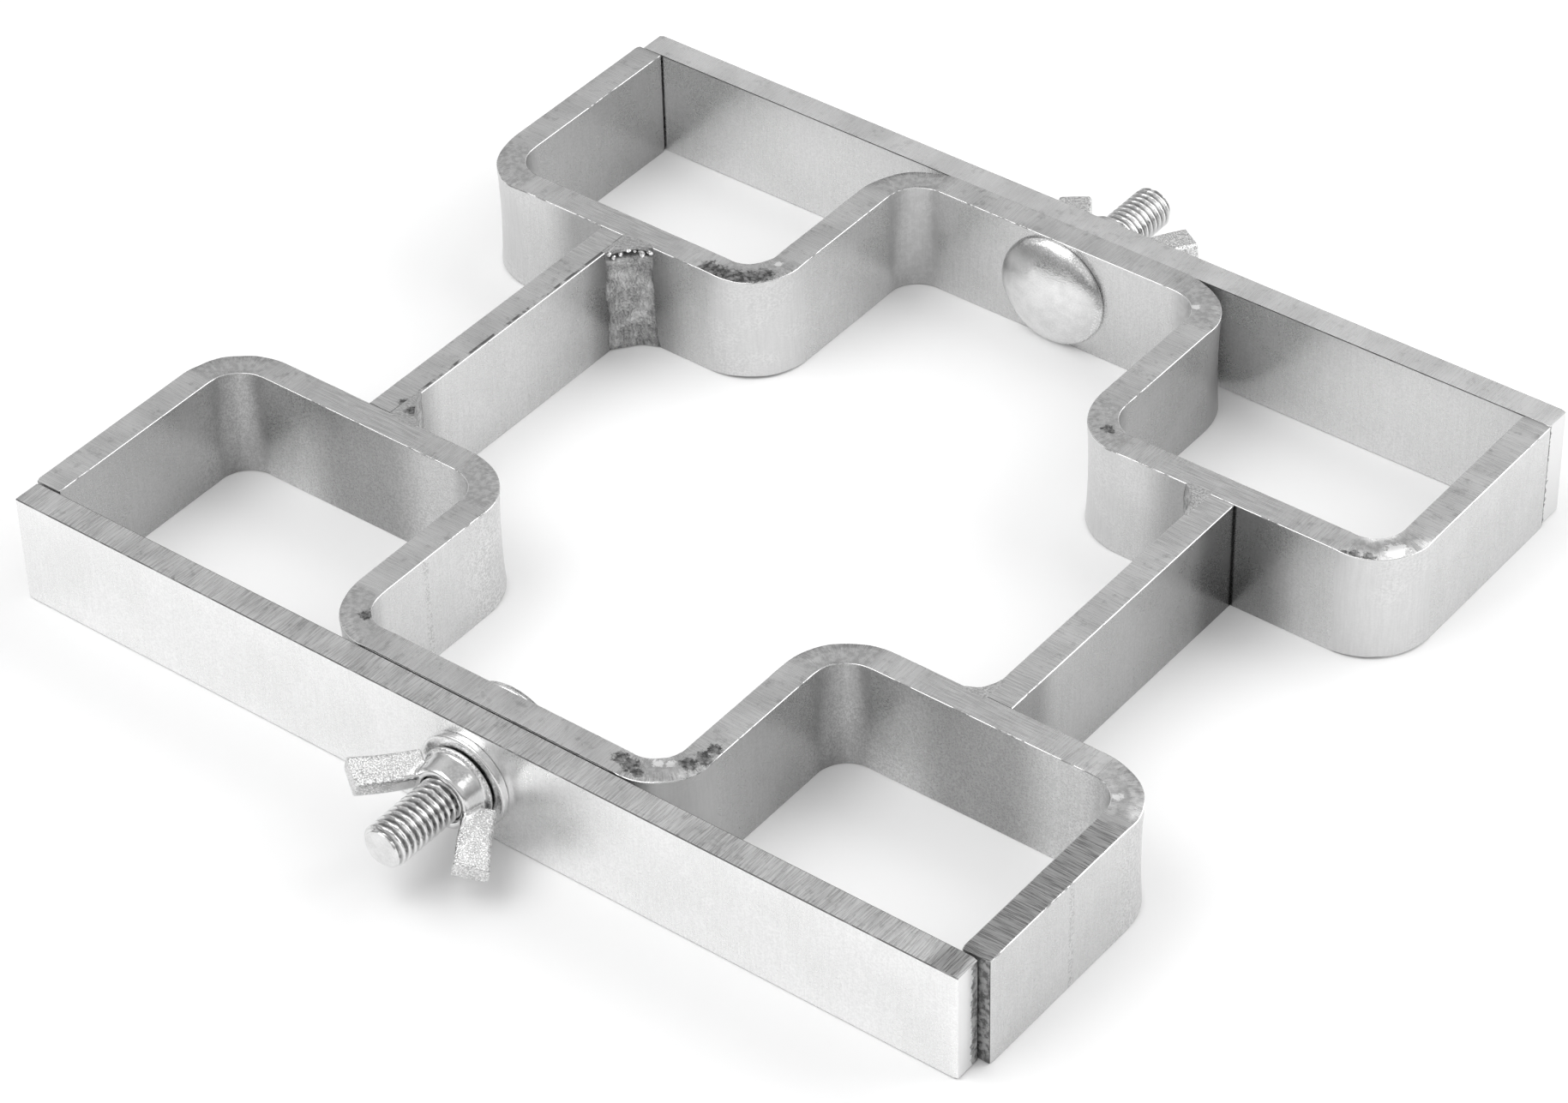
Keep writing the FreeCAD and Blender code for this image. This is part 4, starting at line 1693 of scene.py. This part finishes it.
@dataclass
class Washer:
    """A punched flat washer with a rounded outer edge."""

    end: End
    tree: TurnedTree
    finish: bpy.types.Material
    outer: float = 10.2 * MM
    inner: float = 5.16 * MM
    thickness: float = 1.8 * MM
    edge: float = 0.55 * MM
    foot: float = 100.58 * MM

    def build(self) -> bpy.types.Object:
        """Turn the washer and tie it to its body.

        Returns:
            The washer.
        """
        name = self.end.prefix + "_washer"
        small = 0.2 * MM
        profile = [(self.inner, small), (self.inner + small, 0.0), (self.inner + 2 * small, 0.0)]
        profile += [(self.outer - 3 * small, 0.0)]
        profile += arc_points(self.outer - small, small, small, -90.0, 0.0, 4)
        edge = self.edge
        profile += arc_points(self.outer - edge, self.thickness - edge, edge, 0.0, 90.0, 7)
        profile += [(self.outer - edge - small, self.thickness)]
        profile += [(self.inner + 2 * small, self.thickness), (self.inner + small, self.thickness)]
        profile += [(self.inner, self.thickness - small)]
        place = SIZES.bolt_matrix(self.end, self.foot)
        piece = turned(name, profile, True, self.tree, self.finish, place, Segments=96)
        dress(piece, None, self.end.prefix + "_slider", name)
        return piece


@dataclass
class WingNut:
    """A forged wing nut: a flanged hub with two slab wings that run into it."""

    end: End
    tree: TurnedTree
    finish: bpy.types.Material
    spin: float
    foot: float = 102.38 * MM
    bore: float = 4.95 * MM
    base: float = 8.24 * MM
    top: float = 6.45 * MM
    height: float = 6.2 * MM
    lean: float = 57.0
    reach: float = 14.9 * MM
    rise: float = 14.6 * MM
    width: float = 7.1 * MM
    thickness: float = 3.7 * MM
    wing_length: float = 14.2 * MM
    bow: float = 0.35 * MM
    stations: int = 26
    edge: float = 0.7 * MM
    voxel: float = 0.2 * MM

    def hub_profile(self) -> list:
        """Radius and height round the hub's wall.

        Returns:
            The pairs in order.
        """
        flange = 0.5 * MM
        gap = 0.3 * MM
        profile = [(self.bore, gap), (self.bore + 0.5 * MM, 0.0), (self.base - 1.5 * MM, 0.0)]
        profile += [(self.base - 1.1 * MM, gap)]
        profile += arc_points(self.base - flange, flange + gap, flange, -80.0, 60.0, 8)
        profile += [(self.base - 0.75 * MM, 1.4 * MM), (self.base - 0.95 * MM, 1.7 * MM)]
        profile += [(self.top + 0.45 * MM, self.height - 2.0 * MM)]
        profile += arc_points(self.top - 0.6 * MM, self.height - 0.9 * MM, 0.9 * MM, 10.0, 80.0, 5)
        profile += [(self.bore + 0.45 * MM, self.height), (self.bore, self.height - 0.45 * MM)]
        return profile

    def wing_mesh(self, side: int) -> bpy.types.Object:
        """Sweep one wing as a slab with rounded long edges.

        Args:
            side: 1 for the wing on the nut's +X side, -1 for the other.

        Returns:
            The wing, whose root lies inside the hub's wall.
        """
        lean = math.radians(self.lean)
        along = Vector((math.cos(lean), 0, math.sin(lean)))
        upward = Vector((-math.sin(lean), 0, math.cos(lean)))
        tip = Vector((self.reach, 0, self.rise))
        shape = bmesh.new()
        rings = []
        for i in range(self.stations + 1):
            share = i / self.stations
            centre = tip - along * self.wing_length * (1 - share)
            # The slab bows slightly and widens towards its sheared tip
            centre += upward * (self.bow * math.sin(math.pi * share))
            half_width = self.width / 2 * (0.88 + 0.12 * share)
            half_thick = self.thickness / 2 * (1.12 - 0.12 * share)
            ring = []
            for x, y in self.slab_section(half_width, half_thick):
                corner = centre + upward * x + Vector((0, y, 0))
                corner.x *= side
                ring.append(shape.verts.new(corner))
            rings.append(ring)
        return add_object("wing", lofted("wing", shape, rings))

    def slab_section(self, half_width: float, half_thick: float) -> list:
        """Outline of a wing's section with rounded corners.

        Args:
            half_width: Half the slab's width.
            half_thick: Half its thickness.

        Returns:
            The corners in order.
        """
        points = []
        edge = min(self.edge, half_thick * 0.9)
        for x_sign, y_sign, start in ((1, 1, 0), (-1, 1, 90), (-1, -1, 180), (1, -1, 270)):
            x, y = x_sign * (half_width - edge), y_sign * (half_thick - edge)
            points += arc_points(x, y, edge, start, start + 90, 5)
        return points

    def build(self) -> bpy.types.Object:
        """Join hub and wings into one forged skin and tie it to its body.

        Returns:
            The wing nut.
        """
        name = self.end.prefix + "_wing_nut"
        here = Matrix.Identity(4)
        hub = turned(name + "_hub", self.hub_profile(), True, self.tree, self.finish, here)
        shape = bmesh.new()
        for part in (hub, self.wing_mesh(1), self.wing_mesh(-1)):
            shape.from_mesh(part.data)
            bpy.data.objects.remove(part)
        mesh = bpy.data.meshes.new(name + "_raw")
        shape.to_mesh(mesh)
        shape.free()
        raw = add_object(name + "_raw", mesh)
        remesh = raw.modifiers.new("forge", "REMESH")
        remesh.mode = "VOXEL"
        remesh.voxel_size = self.voxel
        soften = raw.modifiers.new("soften", "SMOOTH")
        soften.factor = 0.5
        soften.iterations = 5
        piece = baked(name, raw, 70.0, here)
        for vertex in piece.data.vertices:
            distance = math.hypot(vertex.co.x, vertex.co.y)
            if 0 < distance < self.bore and vertex.co.z < self.height + 2 * MM:
                vertex.co.x *= self.bore / distance
                vertex.co.y *= self.bore / distance
        piece.data.transform(SIZES.bolt_matrix(self.end, self.foot, self.spin))
        dress(piece, self.finish, self.end.prefix + "_nut", name)
        return piece


@dataclass
class WeldBead:
    """A lumpy fillet weld in a corner between web and strip."""

    name: str
    x_sign: int
    y_sign: int
    strip_leg: float
    web_leg: float
    seed: float
    drops: int
    finish: bpy.types.Material
    foot: float = 0.3 * MM
    hollow: float = 1.1 * MM
    lump: float = 0.22 * MM
    flare: float = 1.3 * MM
    undercut: float = 0.9 * MM
    undercut_height: float = 23.7 * MM
    undercut_reach: float = 0.75 * MM
    bury: float = 0.8 * MM
    drop_height: float = 24.1 * MM
    rows: int = 150
    columns: int = 60

    def drop(self, across: float, up: float) -> float:
        """Return how far the row of small drops under the bead's top stands out.

        Args:
            across: 0 on the strip and 1 on the web.
            up: Height above the floor.

        Returns:
            The height of the drops above the bead there.
        """
        total = 0.0
        for i in range(self.drops):
            middle = (i + 0.5) / self.drops
            sway = noise.noise(Vector((self.seed * 5, i * 1.7, 0.0)))
            size = (0.62 + 0.5 * noise.noise(Vector((self.seed, i * 2.3, 4.0)))) * MM
            beside = (across - middle) * self.strip_leg * 1.35 + sway * 0.4 * MM
            above = up - self.drop_height - sway * 1.1 * MM
            inside = max(0.0, 1 - (beside ** 2 + above ** 2) / size ** 2)
            total = max(total, size * inside ** 0.5)
        return total

    def dug(self, up: float) -> float:
        """Return 1 in the undercut below the bead's top, and 0 away from it."""
        away = (up - self.undercut_height) / self.undercut_reach
        return math.exp(-away ** 4) if self.drops else 0.0

    def surface(self, across: float, up: float) -> tuple:
        """Place of a point on the bead's open face.

        Args:
            across: 0 on the strip and 1 on the web.
            up: Height above the floor.

        Returns:
            Distances from the corner along the strip and along the web.
        """
        sway = noise.noise(Vector((self.seed, up / (5 * MM), 0.0))) * 0.7 * MM
        other = noise.noise(Vector((self.seed + 7.0, up / (6 * MM), 0.0))) * 0.7 * MM
        low = max(0.0, 1 - up / (11 * MM)) ** 2
        strip = self.strip_leg + sway + self.flare * (low - 0.6)
        web = self.web_leg + other
        bulge = math.sin(math.pi * across)
        ripple = noise.noise(Vector((across * 4.5, up / (1.3 * MM), self.seed * 3)))
        coarse = noise.noise(Vector((across * 2.0 + 5, up / (4.5 * MM), self.seed)))
        cut = self.dug(up) * self.undercut
        lift = bulge * (self.lump * (0.6 * ripple + 2.2 * coarse) - self.hollow - cut)
        lift += min(1.0, 4 * bulge) * self.drop(across, up)
        norm = math.hypot(strip, web)
        return strip * (1 - across) + lift * web / norm, web * across + lift * strip / norm

    def build(self) -> bpy.types.Object:
        """Lay the bead and tie it to the frame.

        Returns:
            The bead.
        """
        web_face = SIZES.web_line - SIZES.half_thickness
        corner = Vector((web_face * self.x_sign, SIZES.web_half * self.y_sign, 0.0))
        shape = bmesh.new()
        drop, dug, rim = (shape.verts.layers.float.new(name) for name in ("drop", "dug", "rim"))
        rings = []
        for i in range(self.rows + 1):
            up = self.foot + (SIZES.width - self.foot) * i / self.rows
            ring = [self.surface(j / self.columns, up) for j in range(self.columns + 1)]
            ring += [(-self.bury, ring[-1][1]), (-self.bury, -self.bury), (ring[0][0], -self.bury)]
            rings.append([
                shape.verts.new(corner + Vector((-self.x_sign * a, -self.y_sign * b, up)))
                for a, b in ring
            ])
            for j in range(self.columns + 1):
                across = j / self.columns
                rings[-1][j][drop] = self.drop(across, up) / MM
                rings[-1][j][dug] = self.dug(up) * min(1.0, 3 * math.sin(math.pi * across))
                rings[-1][j][rim] = abs(2 * across - 1) ** 7
        mesh = lofted(self.name, shape, rings)
        mesh.shade_smooth()
        mesh.set_sharp_from_angle(angle=math.radians(50.0))
        piece = add_object(self.name, mesh)
        dress(piece, self.finish, "frame", self.name)
        return piece


@dataclass
class StudioCamera:
    """The photograph's viewpoint."""

    place: tuple = (0.49144, -0.62500, 0.65323)
    right: tuple = (0.79401228, 0.60756445, -0.02024684)
    up: tuple = (-0.37326766, 0.51356198, 0.77260944)
    forward: tuple = (-0.47980804, 0.60590389, -0.63455868)
    focal_pixels: float = 6019.16
    sensor: float = 36.0

    def build(self) -> bpy.types.Object:
        """Set up the camera and make it the scene's own.

        Returns:
            The camera.
        """
        data = bpy.data.cameras.new("camera")
        data.sensor_fit = "HORIZONTAL"
        data.sensor_width = self.sensor
        data.lens = self.focal_pixels * self.sensor / PHOTO_SIZE[0]
        data.clip_start = 0.01
        data.clip_end = 50.0
        camera = bpy.data.objects.new("camera", data)
        bpy.context.scene.collection.objects.link(camera)
        axes = Matrix((self.right, self.up, tuple(-value for value in self.forward))).transposed()
        camera.matrix_world = Matrix.Translation(self.place) @ axes.to_4x4()
        bpy.context.scene.camera = camera
        return camera


@dataclass
class Studio:
    """A plain white floor under soft light."""

    floor_reach: float = 4.0
    floor_gap: float = 0.02 * MM
    floor_shade: float = 0.86
    floor_glow: float = 0.07
    sky_low: float = 0.34
    sky_middle: float = 0.72
    sky_high: float = 0.58
    front_power: float = 10.5
    rear_power: float = 7.0
    top_power: float = 0.20

    def floor(self) -> bpy.types.Object:
        """Lay the floor.

        Returns:
            The floor.
        """
        reach = self.floor_reach
        mesh = bpy.data.meshes.new("floor")
        corners = [(-reach, -reach, 0), (reach, -reach, 0), (reach, reach, 0), (-reach, reach, 0)]
        mesh.from_pydata(corners, [], [(0, 1, 2, 3)])
        mesh.transform(Matrix.Translation((0, 0, -self.floor_gap)))
        item = add_object("floor", mesh)
        material, nodes, shader = start_material("floor")
        shader.inputs["Base Color"].default_value = (self.floor_shade,) * 3 + (1.0,)
        shader.inputs["Roughness"].default_value = 0.9
        shader.inputs["Specular IOR Level"].default_value = 0.0
        shader.inputs["Emission Color"].default_value = (1.0, 1.0, 1.0, 1.0)
        # The floor looks a little paler than its own light makes it, also where metal mirrors it
        path = nodes.add("ShaderNodeLightPath")
        camera, glossy, through = (
            Signal(nodes, path.outputs[name])
            for name in ("Is Camera Ray", "Is Glossy Ray", "Is Transmission Ray")
        )
        seen = nodes.math("MAXIMUM", nodes.math("MAXIMUM", camera, glossy), through)
        nodes.feed(shader.inputs["Emission Strength"], seen * self.floor_glow)
        item.data.materials.append(material)
        return item

    def world(self) -> None:
        """Light the scene evenly, darkest at the horizon."""
        world = bpy.data.worlds.new("studio")
        bpy.context.scene.world = world
        world.use_nodes = True
        world.node_tree.nodes.clear()
        nodes = Nodes(world.node_tree)
        place = nodes.out("ShaderNodeTexCoord", None, "Generated")
        height = nodes.split(nodes.vector("NORMALIZE", place))[2]
        shade = nodes.remap(height, 0.1, 0.5, self.sky_low, self.sky_middle)
        shade = nodes.blend(nodes.remap(height, 0.74, 0.90), shade, self.sky_high)
        background = nodes.out("ShaderNodeBackground", {"Color": (1, 1, 1, 1), "Strength": shade})
        nodes.add("ShaderNodeOutputWorld", {"Surface": background})

    def lamp(self, name: str, place: tuple, size: float, power: float) -> None:
        """Hang a square soft lamp that faces the clamp.

        Args:
            name: The lamp's name.
            place: Where it hangs.
            size: Its side.
            power: Its power in watts.
        """
        data = bpy.data.lights.new(name, "AREA")
        data.size = size
        data.energy = power
        item = bpy.data.objects.new(name, data)
        bpy.context.scene.collection.objects.link(item)
        item.location = place
        item.rotation_euler = (-Vector(place)).to_track_quat("-Z", "Y").to_euler()

    def build(self) -> None:
        """Set up floor, world and lamps."""
        self.floor()
        self.world()
        self.lamp("front lamp", (-0.44, -0.64, 1.22), 1.2, self.front_power)
        self.lamp("rear lamp", (0.62, 0.72, 0.50), 1.0, self.rear_power)
        self.lamp("top lamp", (0.02, 0.30, 0.56), 0.16, self.top_power)
        bpy.context.scene.view_settings.view_transform = "Standard"


@dataclass
class StageLegClamp:
    """The whole clamp, piece by piece."""

    finishes: Finishes
    welds: list = field(default_factory=lambda: [
        ("front_left_weld", -1, -1, 7.0 * MM, 8.4 * MM, 1.3, 0),
        ("front_right_weld", 1, -1, 5.2 * MM, 5.6 * MM, 2.9, 0),
        ("rear_left_weld", -1, 1, 7.6 * MM, 7.2 * MM, 4.1, 7),
        ("rear_right_weld", 1, 1, 5.8 * MM, 8.0 * MM, 5.7, 0),
    ])

    def build(self) -> None:
        """Build and dress every piece in order."""
        tree = RolledBarTree()
        stock = BarStock(tree, self.finishes.bar)
        clamp_stocks = {
            End.FRONT: BarStock(tree, self.finishes.front_bar),
            End.REAR: BarStock(tree, self.finishes.rear_bar),
        }
        lathe = TurnedTree()
        Web("left_web", -SIZES.web_line, BarStock(tree, self.finishes.left_web)).build()
        Web("right_web", SIZES.web_line, stock).build()
        for values in self.welds:
            WeldBead(*values, finish=self.finishes.weld).build()
        spins = {End.FRONT: -17.4, End.REAR: -4.0}
        lengths = {End.FRONT: 227.2 * MM, End.REAR: 228.6 * MM}
        shifts = {End.FRONT: -1.0 * MM, End.REAR: 0.2 * MM}
        for end in End:
            BentStrip(end, stock).build()
            ClampBar(end, clamp_stocks[end], lengths[end], shifts[end]).build()
            StepBolt(end, lathe, self.finishes.zinc).build()
            Washer(end, lathe, self.finishes.zinc).build()
            WingNut(end, lathe, self.finishes.forged, spins[end]).build()


def main() -> None:
    """Build the studio and the clamp."""
    logging.basicConfig(level=logging.INFO, format="%(message)s")
    StudioCamera().build()
    Studio().build()
    StageLegClamp(Finishes.build()).build()


if __name__ == "__main__":
    main()
